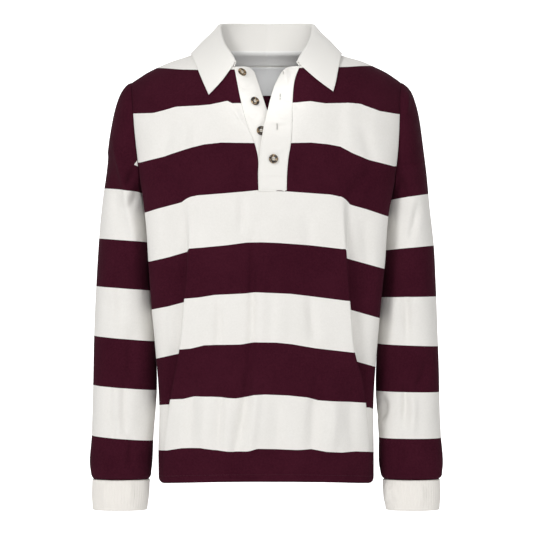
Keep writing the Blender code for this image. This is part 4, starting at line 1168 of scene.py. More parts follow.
def make_sleeve(side, name):
    sleeve = Cloth("sleeve_%s_jersey" % name, "sleeve_" + name)
    v = TOP_ROWS
    w = np.concatenate([v, 2 - v[-2:0:-1]])
    rows = [*np.arange(SLEEVE_TOP_Z, -640.0, -3.6), -642, -645, -648, -651, -653.4, CUFF_TOP_Z]
    grid = sleeve_grid(side, w, SLEEVE_HEAD_STEPS, rows)
    way = np.broadcast_to(180 * w, grid.shape[:-1])
    round_arm = side * way / 180 * HALF_ROUND_ARM
    down = sleeve_length(side, grid, way)
    corner = STRIPE + within(seen(grid), WHITE_CORNER[side])
    down = np.where(way < 180, np.maximum(down, corner), down)
    knit = np.stack([round_arm, down, np.zeros(way.shape)], -1)
    ids = sleeve.add_points(grid, knit)
    sleeve.add_faces(ids, flip=side > 0, closed=True)
    q = seen(sleeve.points)
    forward = ease((26 - sleeve.points[:, 1]) / 30)  # the front's creases fade out on the side
    height = creases(q, SLEEVE_CREASES[side, "front"]) * forward
    height += creases(sleeve.points[:, (0, 2)], SLEEVE_CREASES[side, "back"]) * (1 - forward)
    settle(sleeve, height + ripple(q * 1.3 + 90 * side))
    return sleeve


RIBS = 55
CUFF_WALL = 2.0
RIB_RISE = 0.38
ROUND_WRIST = 200.0


def make_cuff(side, name):
    cuff = Cloth("cuff_%s_rib" % name, "cuff_" + name)
    sizes = CUFF_RIGHT if side < 0 else CUFF_LEFT
    way = np.arange(RIBS * 6) * 60.0 / RIBS
    levels = np.linspace(CUFF_END_Z, CUFF_TOP_Z, 24)
    grid = np.array([tube_ring(sizes, side, way, np.full(way.shape, z)) for z in levels])
    knit = np.stack(np.broadcast_arrays(way / 360 * ROUND_WRIST, -levels[:, None], 0 * way), -1)
    ids = cuff.add_points(grid, knit)
    cuff.add_faces(ids, flip=side > 0, closed=True)
    rise = 0.5 + 0.5 * np.cos(np.radians(way * RIBS))
    end = (ease((levels - CUFF_END_Z) / 3) * ease((CUFF_TOP_Z - levels) / 2))[:, None]
    height = (RIB_RISE * rise[None] * (0.25 + 0.75 * end)).ravel()
    dimples = creases(seen(cuff.points), CUFF_CREASES[side]) * (cuff.points[:, 1] < -10)
    cuff.raise_by(height + dimples * end.repeat(len(way), axis=1).ravel())
    return cuff


def neck_points(side, along):
    on_front = 1 - along / COLLAR_AT_SHOULDER
    behind = (along - COLLAR_AT_SHOULDER) / (1 - COLLAR_AT_SHOULDER)
    front = shoulder_and_neck(side, True, HIGH_POINT + (1 - HIGH_POINT) * on_front, HIGH_POINT)
    u = 1 - HIGH_POINT_BACK * (1 - behind)
    back = shoulder_and_neck(side, False, u, 1 - HIGH_POINT_BACK)
    tc = np.where((along < COLLAR_AT_SHOULDER)[:, None], front, back)
    return body(tc[:, 0], climb_to_z(tc[:, 0], tc[:, 1]))


COLLAR_CELL = (3.9, 2.2)  # about the size of a cell of the collar's grid


def make_collar():
    collar = Cloth("collar_twill", "collar")
    at = cells((0, 0.04, 4), (0.04, COLLAR_AT_SHOULDER, 30), (COLLAR_AT_SHOULDER, 1, 34))
    halves = [collar_lines(side, at, neck_points(side, at)) for side in (-1, 1)]
    grid = np.concatenate([halves[0], halves[1][:, -2::-1]], axis=1)
    across = np.arange(grid.shape[0])[:, None] * np.ones(grid.shape[1])
    around = np.arange(grid.shape[1])[None] * np.ones((grid.shape[0], 1))
    knit = np.stack([around * COLLAR_CELL[0], across * COLLAR_CELL[1], 0 * around], -1)
    ids = collar.add_points(grid, knit)
    collar.add_faces(ids, flip=True)
    return collar, ids


FOOT_DROP = 2.6  # how far the buttonhole strip's foot reaches down over the front's notch
FOOT_SINK = 1.6  # how far that strip's proud side comes in onto the front at its foot
FOOT_SHARE = 0.03  # of the strip's length
TOP_CORNER = {"over": (1.0, 9.0), "under": (3.2, 11.0)}  # how a strip's top rises, then rounds off
CORNER_FROM = 0.45  # share across the strip where the rounding begins
CORNER_SHAPE = 2.4


def make_placket(side, name, seam):
    strip = Cloth(name + "_twill", name)
    kind = "over" if side > 0 else "under"
    v = TOP_ROWS
    grid = [seam]
    for s in cells((0, 0.05, 2), (0.05, 0.92, 16), (0.92, 1, 4))[1:]:
        rise, rounding = TOP_CORNER[kind]
        into = max(0.0, (s - CORNER_FROM) / (1 - CORNER_FROM))
        corner = rounding * (1 - math.sqrt(1 - into**CORNER_SHAPE))
        z = seam[:, 2] + (rise * s - corner) * v**6
        if side > 0:
            z = z - FOOT_DROP * (1 - ease(v / FOOT_SHARE)) * min(s / 0.1, 1)
        x = seam[:, 0] + (read(PLACKET, kind + "_free", z) - seam[:, 0]) * s
        grid.append(placket_point(side, x, z))
    grid = np.array(grid).transpose(1, 0, 2)
    if side > 0:
        sunk = FOOT_SINK * (1 - ease(v / FOOT_SHARE))[:, None]
        grid[..., 1] += sunk * np.clip((grid[:, :1, 0] - grid[..., 0]) / 12, 0, 1)
    knit = np.stack([grid[..., 0], -grid[..., 2], 0 * grid[..., 0]], -1)
    ids = strip.add_points(grid, knit)
    strip.add_faces(ids, flip=side > 0)
    d = strip.from_border()
    strip.raise_by(creases(seen(strip.points), PLACKET_CREASES[side]) * ease(d / 3.0))
    return strip, ids


# ---------------------------------------------------------------------------
# Stitches: short threads laid along a line on a piece
HEM_POINTS = 400
HEM_ROW = 3.4  # the row of the body's grid that the hem's stitches follow


THREAD_SIDES = 6
# A thread's rings: the share of its length, and its lift and size in radii.
THREAD_RINGS = ((0, -0.2, 0.45), (0.22, 0.75, 1), (0.78, 0.75, 1), (1, -0.2, 0.45))
STITCH_SHARE = 0.74  # of a stitch's pitch that its thread shows


def on_grid(cloth, ids, rows, cols):
    """Points and normals of a piece at fractional rows and columns of one of its grids."""
    p, n = cloth.points[ids], cloth.normals()[ids]
    r0 = np.clip(np.floor(rows).astype(int), 0, ids.shape[0] - 2)
    c0 = np.clip(np.floor(cols).astype(int), 0, ids.shape[1] - 2)
    r, c = (rows - r0)[:, None], (cols - c0)[:, None]

    def mix(g):
        low = g[r0, c0] * (1 - c) + g[r0, c0 + 1] * c
        high = g[r0 + 1, c0] * (1 - c) + g[r0 + 1, c0 + 1] * c
        return low * (1 - r) + high * r

    return mix(p), unit(mix(n))


def tube_faces(base, sides, rings):
    """Faces of a closed tube whose rings of points start at number base."""
    faces = []
    for ring in range(rings - 1):
        for k in range(sides):
            i, j = base + ring * sides + k, base + ring * sides + (k + 1) % sides
            faces.append((i, j, j + sides, i + sides))
    faces.append(tuple(base + k for k in range(sides - 1, -1, -1)))
    faces.append(tuple(base + (rings - 1) * sides + k for k in range(sides)))
    return faces


def threads(ends, radius):
    """Vertices and faces of small tapered threads, each from one point to another."""
    points, faces = [], []
    for a, b, n in ends:
        along = unit(b - a)
        side = unit(np.cross(along, n))
        base = len(points)
        for share, lift, size in THREAD_RINGS:
            middle = a + (b - a) * share + n * lift * radius
            for k in range(THREAD_SIDES):
                turn = 2 * math.pi * k / THREAD_SIDES
                points.append(middle + radius * size * (math.cos(turn) * side + math.sin(turn) * n))
        faces += tube_faces(base, THREAD_SIDES, len(THREAD_RINGS))
    return points, faces


def stitch_ends(points, normals, pitch=2.7):
    """The ends of the stitches of one row along a line."""
    steps = np.linalg.norm(np.diff(points, axis=0), axis=1)
    at = np.concatenate([[0], np.cumsum(steps)])
    count = max(int(at[-1] / pitch), 1)
    ends = []
    for k in range(count):
        pair = []
        for s in (k + 0.5 - STITCH_SHARE / 2, k + 0.5 + STITCH_SHARE / 2):
            where = s * at[-1] / count
            pair.append(np.array([np.interp(where, at, points[:, i]) for i in range(3)]))
        n = np.array([np.interp((k + 0.5) * at[-1] / count, at, normals[:, i]) for i in range(3)])
        ends.append((pair[0], pair[1], unit(n)))
    return ends


def sew_row(name, ends, looks, radius=0.26):
    points, faces = threads(ends, radius)
    piece = make_mesh(name, points, faces, looks)
    return piece


# ---------------------------------------------------------------------------
# Materials
BURGUNDY_LIGHT = (0.0575, 0.0090, 0.0195)
BURGUNDY_DARK = (0.0335, 0.0040, 0.0108)
CREAM = (0.855, 0.838, 0.806)
CREAM_DARK = (0.795, 0.778, 0.742)
RIB_CREAM = (0.88, 0.848, 0.80)
DIFFUSE_ROUGHNESS = 0.2
CLOTH_SPECULAR = 0.03  # knit and twill have hardly any shine, not even at a grazing angle
WALE = 1.25  # width of a column of knit, in mm
COURSE = 1.05  # height of a row
FLECK = 900.0  # scales of the noise on the cloth, from fine to broad
GRAIN = 330.0
CLOUD = 22.0
HORN_STOPS = (
    (0.40, (0.010, 0.006, 0.004)),
    (0.68, (0.56, 0.44, 0.28)),
    (0.49, (0.045, 0.025, 0.012)),
    (0.55, (0.30, 0.20, 0.10)),
)
PALE_DISH = 3.1  # radius of a button's paler middle


class Nodes:
    """Short names for building a material's nodes."""

    def __init__(self, name):
        self.material = bpy.data.materials.new(name)
        self.material.use_nodes = True
        self.tree = self.material.node_tree
        self.surface = self.tree.nodes["Principled BSDF"]

    def add(self, kind, **values):
        node = self.tree.nodes.new(kind)
        for key, value in values.items():
            setattr(node, key, value)
        return node

    def link(self, source, target):
        self.tree.links.new(source, target)

    def maths(self, operation, *inputs):
        node = self.add("ShaderNodeMath", operation=operation)
        for i, value in enumerate(inputs):
            if isinstance(value, (int, float)):
                node.inputs[i].default_value = value
            else:
                self.link(value, node.inputs[i])
        return node.outputs[0]

    def blend(self, a, share_a, b, share_b):
        a = self.maths("MULTIPLY", a, share_a)
        b = self.maths("MULTIPLY", b, share_b)
        return self.maths("ADD", a, b)

    def mix(self, factor, a, b):
        node = self.add("ShaderNodeMix", data_type="RGBA")
        for socket, value in ((node.inputs[0], factor), (node.inputs[6], a), (node.inputs[7], b)):
            if isinstance(value, (int, float)):
                socket.default_value = value
            elif isinstance(value, tuple):
                socket.default_value = (*value, 1.0)
            else:
                self.link(value, socket)
        return node.outputs[2]

    def noise(self, scale, detail=2.0, vector=None):
        node = self.add("ShaderNodeTexNoise")
        node.inputs["Scale"].default_value = scale
        node.inputs["Detail"].default_value = detail
        if vector is None:
            vector = self.add("ShaderNodeTexCoord").outputs["Object"]
        self.link(vector, node.inputs["Vector"])
        return node.outputs["Fac"]

    def stretched(self, value, low=0.32, high=0.68):
        """A noise's middle range made the whole range."""
        node = self.add("ShaderNodeMapRange")
        self.link(value, node.inputs["Value"])
        node.inputs["From Min"].default_value = low
        node.inputs["From Max"].default_value = high
        return node.outputs["Result"]

    def cloth(self):
        node = self.add("ShaderNodeAttribute", attribute_name="cloth")
        parts = self.add("ShaderNodeSeparateXYZ")
        self.link(node.outputs["Vector"], parts.inputs[0])
        return parts.outputs[0], parts.outputs[1]

    def finish(self, colour, roughness, height=None, strength=0.4, distance=0.0003, sheen=0.0):
        self.link(colour, self.surface.inputs["Base Color"])
        self.surface.inputs["Roughness"].default_value = roughness
        self.surface.inputs["Diffuse Roughness"].default_value = DIFFUSE_ROUGHNESS
        self.surface.inputs["Specular IOR Level"].default_value = CLOTH_SPECULAR
        self.surface.inputs["Sheen Weight"].default_value = sheen
        self.surface.inputs["Sheen Roughness"].default_value = 0.5
        if height is not None:
            bump = self.add("ShaderNodeBump")
            bump.inputs["Strength"].default_value = strength
            bump.inputs["Distance"].default_value = distance
            self.link(height, bump.inputs["Height"])
            self.link(bump.outputs[0], self.surface.inputs["Normal"])
        return self.material


def shaded(colour, share):
    return tuple(share * c for c in colour)


def knit_height(n, across, down, wale=WALE, course=COURSE):
    """Jersey's columns of small Vs."""
    column = n.maths("PINGPONG", across, wale / 2)
    slanted = n.maths("ADD", down, n.maths("MULTIPLY", column, 0.9))
    loop = n.maths("SINE", n.maths("MULTIPLY", slanted, 2 * math.pi / course))
    ridge = n.maths("SINE", n.maths("MULTIPLY", column, 2 * math.pi / wale))
    return n.maths("ADD", ridge, n.maths("MULTIPLY", loop, 0.45))


def jersey():
    n = Nodes("jersey")
    across, down = n.cloth()
    stripe = n.maths("FRACT", n.maths("DIVIDE", down, 2 * STRIPE))
    white = n.maths("GREATER_THAN", stripe, 0.5)
    fleck = n.noise(FLECK, 3.0)
    grain = n.stretched(n.blend(fleck, 0.5, n.noise(GRAIN, 2.0), 0.5))
    cloud = n.stretched(n.noise(CLOUD, 3.0))
    mottle = n.blend(grain, 0.7, cloud, 0.3)
    dark = n.mix(mottle, BURGUNDY_DARK, BURGUNDY_LIGHT)
    light = n.mix(mottle, CREAM_DARK, CREAM)
    colour = n.mix(white, dark, light)
    height = n.maths("ADD", knit_height(n, across, down), n.maths("MULTIPLY", fleck, 0.8))
    return n.finish(colour, 0.9, height, 0.35, 0.00022, 0.01)


def rib():
    n = Nodes("rib")
    across, down = n.cloth()
    fleck = n.noise(FLECK, 3.0)
    colour = n.mix(fleck, shaded(RIB_CREAM, 0.93), RIB_CREAM)
    height = n.maths("ADD", knit_height(n, across, down, 1.2, 1.3), n.maths("MULTIPLY", fleck, 0.8))
    return n.finish(colour, 0.88, height, 0.4, 0.00025, 0.06)


def twill(name, colour, lines=1.1):
    n = Nodes(name)
    across, down = n.cloth()
    slanted = n.maths("ADD", across, down)
    lay = n.maths("SINE", n.maths("MULTIPLY", slanted, 2 * math.pi / lines))
    fleck = n.noise(1100.0, 2.0)
    shade = n.mix(fleck, shaded(colour, 0.95), colour)
    height = n.maths("ADD", lay, n.maths("MULTIPLY", fleck, 0.6))
    return n.finish(shade, 0.8, height, 0.25, 0.00015, 0.04)


def plain_thread(name, colour):
    n = Nodes(name)
    shade = n.mix(n.noise(2500.0, 1.0), shaded(colour, 0.9), colour)
    return n.finish(shade, 0.55, None, sheen=0.1)


def horn():
    n = Nodes("horn")
    radius = n.cloth()[0]
    streak = n.add("ShaderNodeTexNoise")
    streak.inputs["Scale"].default_value = 150.0
    streak.inputs["Detail"].default_value = 2.5
    streak.inputs["Distortion"].default_value = 1.2
    n.link(n.add("ShaderNodeTexCoord").outputs["Object"], streak.inputs["Vector"])
    ramp = n.add("ShaderNodeValToRGB")
    for stop, (position, colour) in zip(ramp.color_ramp.elements, HORN_STOPS[:2]):
        stop.position = position
        stop.color = (*colour, 1)
    for position, colour in HORN_STOPS[2:]:
        ramp.color_ramp.elements.new(position).color = (*colour, 1)
    n.link(streak.outputs["Fac"], ramp.inputs["Fac"])
    inside = n.maths("DIVIDE", n.maths("SUBTRACT", PALE_DISH, radius), 0.8)
    inside = n.maths("MINIMUM", n.maths("MAXIMUM", inside, 0.0), 0.85)
    pale = n.mix(streak.outputs["Fac"], (0.62, 0.56, 0.46), (0.36, 0.29, 0.20))
    made = n.finish(n.mix(inside, ramp.outputs[0], pale), 0.28)
    n.surface.inputs["Specular IOR Level"].default_value = 0.5
    n.surface.inputs["Coat Weight"].default_value = 0.3
    n.surface.inputs["Coat Roughness"].default_value = 0.15
    return made


# ---------------------------------------------------------------------------
# Buttons
BUTTON_PROFILE = (  # radius and height, from the foot over the rim to the dished middle
    (3.0, 0.1), (5.6, 0.1), (6.4, 0.35), (6.85, 0.8), (7.0, 1.4), (6.85, 2.0), (6.5, 2.5),
    (6.0, 2.75), (5.5, 2.8), (5.0, 2.6), (4.5, 2.2), (4.1, 1.98), (3.2, 1.9),
)
BUTTON_SIDES = 48
BUTTON_TURN = (49.0, 38.0, 57.0, 44.0)  # of each button about its own axis, in degrees
SHARP_EDGE = 50.0
HOLES = 4
HOLE_RADIUS = 0.9
HOLE_AWAY = 1.9  # from the button's middle
HOLE_SIDES = 20
HOLE_REACH = (-1.0, 5.0)  # from under a button to over it
SEWN_HEIGHT = 1.75
SEWN_SHIFTS = (-0.34, 0.0, 0.34)


def bare_object(name, points, faces):
    mesh = bpy.data.meshes.new(name)
    mesh.from_pydata(points, [], faces)
    made = bpy.data.objects.new(name, mesh)
    bpy.context.scene.collection.objects.link(made)
    return made


def ring_points(x, y, radius, height, sides):
    turns = [2 * math.pi * k / sides for k in range(sides)]
    return [(x + radius * math.cos(a), y + radius * math.sin(a), height) for a in turns]


def button_mesh():
    """A four-hole button's points, in millimetres over its foot, and its faces."""
    points = []
    for radius, height in BUTTON_PROFILE:
        points += ring_points(0, 0, radius, height, BUTTON_SIDES)
    faces = tube_faces(0, BUTTON_SIDES, len(BUTTON_PROFILE))
    whole = bare_object("button_whole", points, faces)
    cutters = []
    for k in range(HOLES):
        turn = 2 * math.pi * k / HOLES
        x, y = HOLE_AWAY * math.cos(turn), HOLE_AWAY * math.sin(turn)
        points = []
        for height in HOLE_REACH:
            points += ring_points(x, y, HOLE_RADIUS, height, HOLE_SIDES)
        cutters.append(bare_object("hole", points, tube_faces(0, HOLE_SIDES, len(HOLE_REACH))))
        hole = whole.modifiers.new("hole", "BOOLEAN")
        hole.object = cutters[-1]
    made = whole.evaluated_get(bpy.context.evaluated_depsgraph_get()).data
    points = np.array([v.co for v in made.vertices])
    faces = [tuple(f.vertices) for f in made.polygons]
    for old in [whole] + cutters:
        bpy.data.objects.remove(old)
    return points, faces


def button_frame(solid, degrees):
    """A button solid's foot, its two turned directions across and the way its face looks."""
    middle = solid.mean(0)
    n = np.linalg.svd(solid - middle, full_matrices=False)[2][2]
    n = n * -np.sign(n[1])
    foot = middle + n * ((solid - middle) @ n).min()
    x = unit(np.cross(n, [0, 0, 1.0]))
    y = np.cross(n, x)
    a = math.radians(degrees)
    x, y = x * math.cos(a) + y * math.sin(a), y * math.cos(a) - x * math.sin(a)
    return foot, x, y, n


def add_buttons(looks, thread):
    """The finer buttons, each where its solid is, sewn on through its four holes."""
    points, faces = button_mesh()
    radius = np.linalg.norm(points[:, :2], axis=1)
    sewn = []
    for k, degrees in enumerate(BUTTON_TURN, 1):
        node = "button_%d" % k
        solid = np.array([v.co for v in bpy.data.objects[node].data.vertices]) / MM
        foot, x, y, n = button_frame(solid, degrees)
        at = foot + points[:, :1] * x + points[:, 1:2] * y + points[:, 2:] * n
        knit = np.stack([radius, 0 * radius + 20.0 * k, points[:, 2]], -1)
        piece = make_mesh(node + "_horn", at, faces, looks, knit)
        piece.data.set_sharp_from_angle(angle=math.radians(SHARP_EDGE))
        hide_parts(node)
        for u, v in (((1, 0), (0, 1)), ((-1, 0), (0, -1))):
            for shift in SEWN_SHIFTS:
                p = [foot + n * SEWN_HEIGHT + HOLE_AWAY * (c[0] * x + c[1] * y) for c in (u, v)]
                across = unit(np.cross(p[1] - p[0], n)) * shift
                sewn.append((p[0] + across, p[1] + across, n))
    sew_row("button_threads", sewn, thread, 0.24)


# ---------------------------------------------------------------------------
# The sewing of the strips and the collar
STRIP_STITCH_IN = 1.7  # from a strip's edge
STRIP_PITCH = 2.5
LEAF_STITCH_IN = 1.6  # cells of the collar's grid in from its edge
LEAF_PITCH = 2.6
FOOT_STITCHES = (2.4, 21.0)  # heights over the placket's lower end
# Each buttonhole's x and middle height: upright, down the middle of the strip.
BUTTONHOLES = ((25.5, -30.0), (20.6, -71.0), (16.0, -116.5), (10.4, -165.5))
BUTTONHOLE_HALF = 5.4
BUTTONHOLE_STITCHES = 34
BAR_STITCHES = 3  # at each end, where the stitches reach across
BAR_HALF = 1.35
LIP_IN = 0.28
LIP_OUT = 1.45
# How far the near-black thread that paints the shadow in each buttonhole's slit lies over the strip
SLIT_SHADOW_RISE = 0.02


def along_strip(strip, ids, col_mm):
    """Stitches up a strip at a distance from its seam or, if it is below 0, its free edge."""
    rows = np.linspace(0.6, ids.shape[0] - 1.6, 260)
    p = strip.points[ids]
    widths = np.linalg.norm(np.diff(p, axis=1), axis=2)
    from_seam = np.concatenate([np.zeros((len(p), 1)), np.cumsum(widths, axis=1)], axis=1)
    cols = []
    for r in rows:
        line = from_seam[int(round(r))]
        where = col_mm if col_mm >= 0 else line[-1] + col_mm
        cols.append(np.interp(where, line, np.arange(len(line))))
    return stitch_ends(*on_grid(strip, ids, rows, np.array(cols)), STRIP_PITCH)


def across_strip(strip, ids, z):
    """Stitches across a strip at a height."""
    p = strip.points[ids]
    row = np.interp(z, p[:, 0, 2], np.arange(len(p)))
    cols = np.linspace(0, ids.shape[1] - 1, 60)
    points, normals = on_grid(strip, ids, np.full(60, row), cols)
    at = np.concatenate([[0], np.cumsum(np.linalg.norm(np.diff(points, axis=0), axis=1))])
    keep = (at >= STRIP_STITCH_IN) & (at <= at[-1] - STRIP_STITCH_IN)
    return stitch_ends(points[keep], normals[keep], STRIP_PITCH)


def add_buttonholes(strip, ids, looks, dark):
    """Upright worked holes: close satin stitches on both sides of a slit, with barred ends,
    and a near-black thread along each slit that paints the shadow in the opening.
    """
    ends, slit_shadows = [], []
    p = strip.points[ids]
    for x, z in BUTTONHOLES:
        rows, cols = [], []
        for h in np.linspace(z - BUTTONHOLE_HALF, z + BUTTONHOLE_HALF, BUTTONHOLE_STITCHES):
            row = np.interp(h, p[:, 0, 2], np.arange(len(p)))
            line = p[int(round(row)), :, 0][::-1]
            rows.append(row)
            cols.append(ids.shape[1] - 1 - np.interp(x, line, np.arange(len(line))))
        points, normals = on_grid(strip, ids, np.array(rows), np.array(cols))
        for i, (q, n) in enumerate(zip(points, normals)):
            side = unit(np.cross([0, 0, 1.0], n))
            if min(i, len(points) - 1 - i) < BAR_STITCHES:
                ends.append((q - side * BAR_HALF, q + side * BAR_HALF, n))
            else:
                ends.append((q + side * LIP_IN, q + side * LIP_OUT, n))
                ends.append((q - side * LIP_OUT, q - side * LIP_IN, n))
        low, high = BAR_STITCHES - 1, -BAR_STITCHES
        # A near-black thread along the slit: painted shadow of the opening
        slit = [points[i] + normals[i] * SLIT_SHADOW_RISE for i in (low, high)]
        slit_shadows.append((*slit, normals[BUTTONHOLE_STITCHES // 2 - 1]))
    sew_row("buttonhole_stitches", ends, looks, 0.24)
    # The slits' painted shadows, in the near-black material passed in as dark
    sew_row("buttonhole_slit_shadows", slit_shadows, dark, 0.34)


def sew_plackets(strips, thread, dark):
    over, over_ids = strips["placket_over"]
    under, under_ids = strips["placket_under"]
    ends = []
    for strip, ids in (over, over_ids), (under, under_ids):
        for col_mm in (STRIP_STITCH_IN, -STRIP_STITCH_IN):
            ends += along_strip(strip, ids, col_mm)
    for rise in FOOT_STITCHES:
        ends += across_strip(over, over_ids, NOTCH_Z + rise)
    sew_row("placket_stitches", ends, thread, 0.2)
    # dark is the near-black material that paints the shadow in the buttonhole slits
    add_buttonholes(over, over_ids, thread, dark)


def sew_collar(collar, ids, thread):
    """A row of stitches round the leaf, a little in from its edge."""
    rows, cols = ids.shape
    first = LEAF_STITCH_IN
    edge_row, last = rows - 1 - LEAF_STITCH_IN, cols - 1 - LEAF_STITCH_IN
    start = STAND_STEPS + FOLD_STEPS + 1.0
    path = [(r, first) for r in np.linspace(start, edge_row, 60)]
    path += [(edge_row, c) for c in np.linspace(first, last, 500)[1:]]
    path += [(r, last) for r in np.linspace(edge_row, start, 60)[1:]]
    path = np.array(path)
    points, normals = on_grid(collar, ids, path[:, 0], path[:, 1])
    sew_row("collar_stitches", stitch_ends(points, normals, LEAF_PITCH), thread, 0.2)


# ---------------------------------------------------------------------------
# Inside the neck: the tape over the seam, and the blank label
TAPE_HALF = 60.0
TAPE_ON_STAND = (3.0, 1.6)  # heights of the tape's upper rows over the seam
TAPE_WIDTH = 17.0
LABEL_X = (-37.0, 35.6)
LABEL_Z = (-10.5, -55.0)
TAPE_DEEP = 2.3  # from the back's outer face to the tape's
LABEL_DEEP = 3.4
# Rows of stitches, each by its row in the tape's or the label's grid.
NECK_STITCHES = (("tape", 1.1), ("tape", 9.6), ("label", 1.2), ("label", 22.0))


def inside_back(x, z, deep):
    """Points just inside the back panel."""
    tc = place(x, z, False)
    p = body(tc[..., 0], z)
    across = body(tc[..., 0] + 0.5, z) - body(tc[..., 0] - 0.5, z)
    up = body(tc[..., 0], z + 1) - body(tc[..., 0], z - 1)
    inward = unit(np.cross(across, up))
    inward = inward * np.sign(-inward[..., 1:2])
    return p + inward * deep


def on_stand(x, above):
    """Points against the inner face of the collar's stand, above the back's neck seam."""
    at = np.linspace(COLLAR_AT_SHOULDER, 1, 40)
    grids = [collar_lines(side, at, neck_points(side, at)) for side in (-1, 1)]
    grid = np.concatenate([grids[0], grids[1][:, -2::-1]], axis=1)[: STAND_STEPS + 1]
    low, high = grid[0], grid[-1]
    share = above / np.linalg.norm(high - low, axis=-1)[:, None]
    line = low + (high - low) * share
    line = np.stack([np.interp(x, line[:, 0], line[:, i]) for i in range(3)], -1)
    inward = unit(np.stack([-line[:, 0], -line[:, 1] - 30, 0 * x], -1))
    return line + inward * TAPE_DEEP


def flat_cloth(name, node, grid):
    cloth = Cloth(name, node)
    knit = np.stack([grid[..., 0], -grid[..., 2], 0 * grid[..., 0]], -1)
    cloth.ids = cloth.add_points(grid, knit)
    cloth.add_faces(cloth.ids)
    return cloth


def add_neck(tape_looks, label_looks, thread):
    x = np.linspace(-TAPE_HALF, TAPE_HALF, 60)
    rows = [on_stand(x, above) for above in TAPE_ON_STAND]
    for s in np.linspace(0.05, 1, 9):
        z = read(NECKLINE, "back", np.abs(x)) - s * TAPE_WIDTH
        rows.append(inside_back(x, z, TAPE_DEEP))
    tape = flat_cloth("neck_tape_twill", "neck_tape", np.array(rows))
    taped = shell(tape, 0.7, tape_looks, 0.4)
    x = np.linspace(LABEL_X[0], LABEL_X[1], 40)
    rows = [inside_back(x, np.full(x.shape, z), LABEL_DEEP) for z in np.linspace(*LABEL_Z, 24)]
    label = flat_cloth("neck_label_satin", "neck_label", np.array(rows))
    labelled = shell(label, 0.5, label_looks, 0.4)
    ends = []
    for kind, row in NECK_STITCHES:
        cloth = tape if kind == "tape" else label
        cols = np.linspace(0.8, cloth.ids.shape[1] - 1.8, 200)
        ends += stitch_ends(*on_grid(cloth, cloth.ids, np.full(200, row), cols), 2.4)
    sew_row("neck_stitches", ends, thread, 0.18)
    return {"neck_tape": (tape, taped), "neck_label": (label, labelled)}


# ---------------------------------------------------------------------------
# The stage
WORLD = 0.40
AREA_LIGHTS = (  # place, target, size in metres and power
    ("key", (-2.0, -3.0, 1.9), (0, 0, -0.25), 1.2, 70),
    ("fill", (2.3, -3.2, 0.9), (0, 0, -0.3), 1.6, 22),
    ("front", (0.25, -4.3, -0.35), (0, 0, -0.25), 0.8, 27),
    ("behind", (0.4, 3.4, 1.4), (0, 0, -0.3), 2.4, 30),
)
NECK_SPOT = ("neck", (0, -3.0, -0.25), (0, 0.085, -0.042), 2.7, 150)  # its width in degrees
FLOOR_Z = -1.45
BACKDROP_Y = 5.5
BACKDROP_TOP = 4.0
HALF_FLOOR = 9.0
LENS = 174.3


def hang(name, light, place_at, target):
    lamp = bpy.data.objects.new(name, light)
    lamp.location = place_at
    way = Vector(target) - Vector(place_at)
    lamp.rotation_euler = way.to_track_quat("-Z", "Y").to_euler()
    bpy.context.scene.collection.objects.link(lamp)


def add_light(name, place_at, target, size, power):
    light = bpy.data.lights.new(name, "AREA")
    light.shape = "DISK"
    light.size = size
    light.energy = power
    hang(name, light, place_at, target)


def add_spot(name, place_at, target, width, power):
    """A narrow lamp that reaches through the open collar."""
    light = bpy.data.lights.new(name, "SPOT")
    light.spot_size = math.radians(width)
    light.spot_blend = 1.0
    light.shadow_soft_size = 0.05
    light.energy = power
    hang(name, light, place_at, target)


def paper_sheet(name, corners, glow):
    """A plain pale surface of the studio."""
    mesh = bpy.data.meshes.new(name)
    mesh.from_pydata(corners, [], [(0, 1, 2, 3)])
    paper = Nodes(name)
    shade = paper.mix(paper.noise(3.0), (0.90, 0.90, 0.90), (0.91, 0.91, 0.91))
    mesh.materials.append(paper.finish(shade, 0.9))
    paper.surface.inputs["Emission Color"].default_value = (1, 1, 1, 1)
    paper.surface.inputs["Emission Strength"].default_value = glow
    stage = bpy.data.objects.new(name, mesh)
    bpy.context.scene.collection.objects.link(stage)


def make_stage():
    scene = bpy.context.scene
    scene.view_settings.view_transform = "Standard"
    world = bpy.data.worlds.new("studio")
    world.use_nodes = True
    world.node_tree.nodes["Background"].inputs["Color"].default_value = (1, 1, 1, 1)
    world.node_tree.nodes["Background"].inputs["Strength"].default_value = WORLD
    scene.world = world
    corners = ((-1, -1), (1, -1), (1, 1), (-1, 1))
    floor = [(HALF_FLOOR * x, HALF_FLOOR * y, FLOOR_Z) for x, y in corners]
    paper_sheet("floor", floor, 0.0)
    heights = {-1: FLOOR_Z, 1: BACKDROP_TOP}
    backdrop = [(HALF_FLOOR / 2 * x, BACKDROP_Y, heights[up]) for x, up in corners]
    paper_sheet("backdrop", backdrop, 1.0)
    camera = bpy.data.cameras.new("camera")
    camera.sensor_width = 36.0
    camera.lens = LENS
    camera.clip_end = 100
    view = bpy.data.objects.new("camera", camera)
    view.location = (0, -CAMERA_FAR * MM, CAMERA_Z * MM)
    view.rotation_euler = (math.pi / 2, 0, 0)
    scene.collection.objects.link(view)
    scene.camera = view
    for light in AREA_LIGHTS:
        add_light(*light)
    add_spot(*NECK_SPOT)


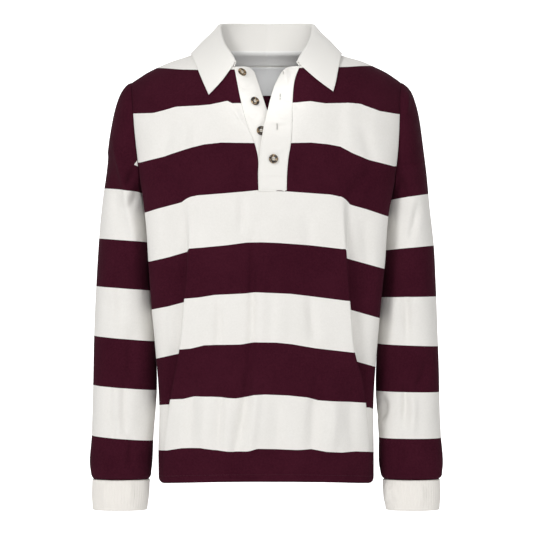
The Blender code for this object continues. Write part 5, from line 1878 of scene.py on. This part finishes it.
def declare(pieces):
    """Works out the size of each cut piece of cloth, but keeps none of it."""
    for name, (cloth, piece) in pieces.items():
        cloth.area()


def sew_hem(front, low, back, back_ids, thread):
    ends = []
    for cloth, ids in ((front, low), (back, back_ids)):
        cols = np.linspace(0, ids.shape[1] - 1, HEM_POINTS)
        ends += stitch_ends(*on_grid(cloth, ids, np.full(HEM_POINTS, HEM_ROW), cols))
    sew_row("hem_stitches", ends, thread, 0.22)


def dress():
    """All the pieces, each cut one with its cloth and its mesh."""
    knit = jersey()
    ribbed = rib()
    cream_twill = twill("cream_twill", (0.865, 0.848, 0.812))
    tape_twill = twill("tape_twill", (0.93, 0.925, 0.91), 1.6)
    label_satin = twill("label_satin", (0.86, 0.865, 0.865), 0.5)
    thread = plain_thread("cream_thread", (0.84, 0.82, 0.78))
    wine = plain_thread("wine_thread", (0.060, 0.012, 0.022))
    # Near-black material for the threads that paint the shadow in the buttonholes' slits
    painted_slit_shadow = plain_thread("painted_slit_shadow", (0.035, 0.03, 0.028))

    front, low = make_front()
    pieces = {"front": (front, shell(front, CLOTH, knit))}
    back, back_ids = make_back()
    pieces["back"] = (back, shell(back, CLOTH, knit))
    for side, name in ((-1, "right"), (1, "left")):
        sleeve = make_sleeve(side, name)
        pieces["sleeve_" + name] = (sleeve, shell(sleeve, CLOTH, knit))
        cuff = make_cuff(side, name)
        pieces["cuff_" + name] = (cuff, shell(cuff, CUFF_WALL, ribbed, 0.4))
    collar, collar_ids = make_collar()
    pieces["collar"] = (collar, shell(collar, CLOTH, cream_twill, 0.3))
    strips = {}
    for side, name in ((1, "placket_over"), (-1, "placket_under")):
        t, z = front_half_top(side, COLUMNS[-2:], TOP_ROWS)
        strip, ids = make_placket(side, name, folded(t, z)[:, -1])
        pieces[name] = (strip, shell(strip, CLOTH, cream_twill, 0.12))
        strips[name] = (strip, ids)
    # The last argument is the material of the painted shadow in the buttonhole slits
    sew_plackets(strips, thread, painted_slit_shadow)
    sew_collar(collar, collar_ids, thread)
    sew_hem(front, low, back, back_ids, wine)
    add_buttons(horn(), thread)
    pieces.update(add_neck(tape_twill, label_satin, thread))
    return pieces


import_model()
make_stage()
declare(dress())
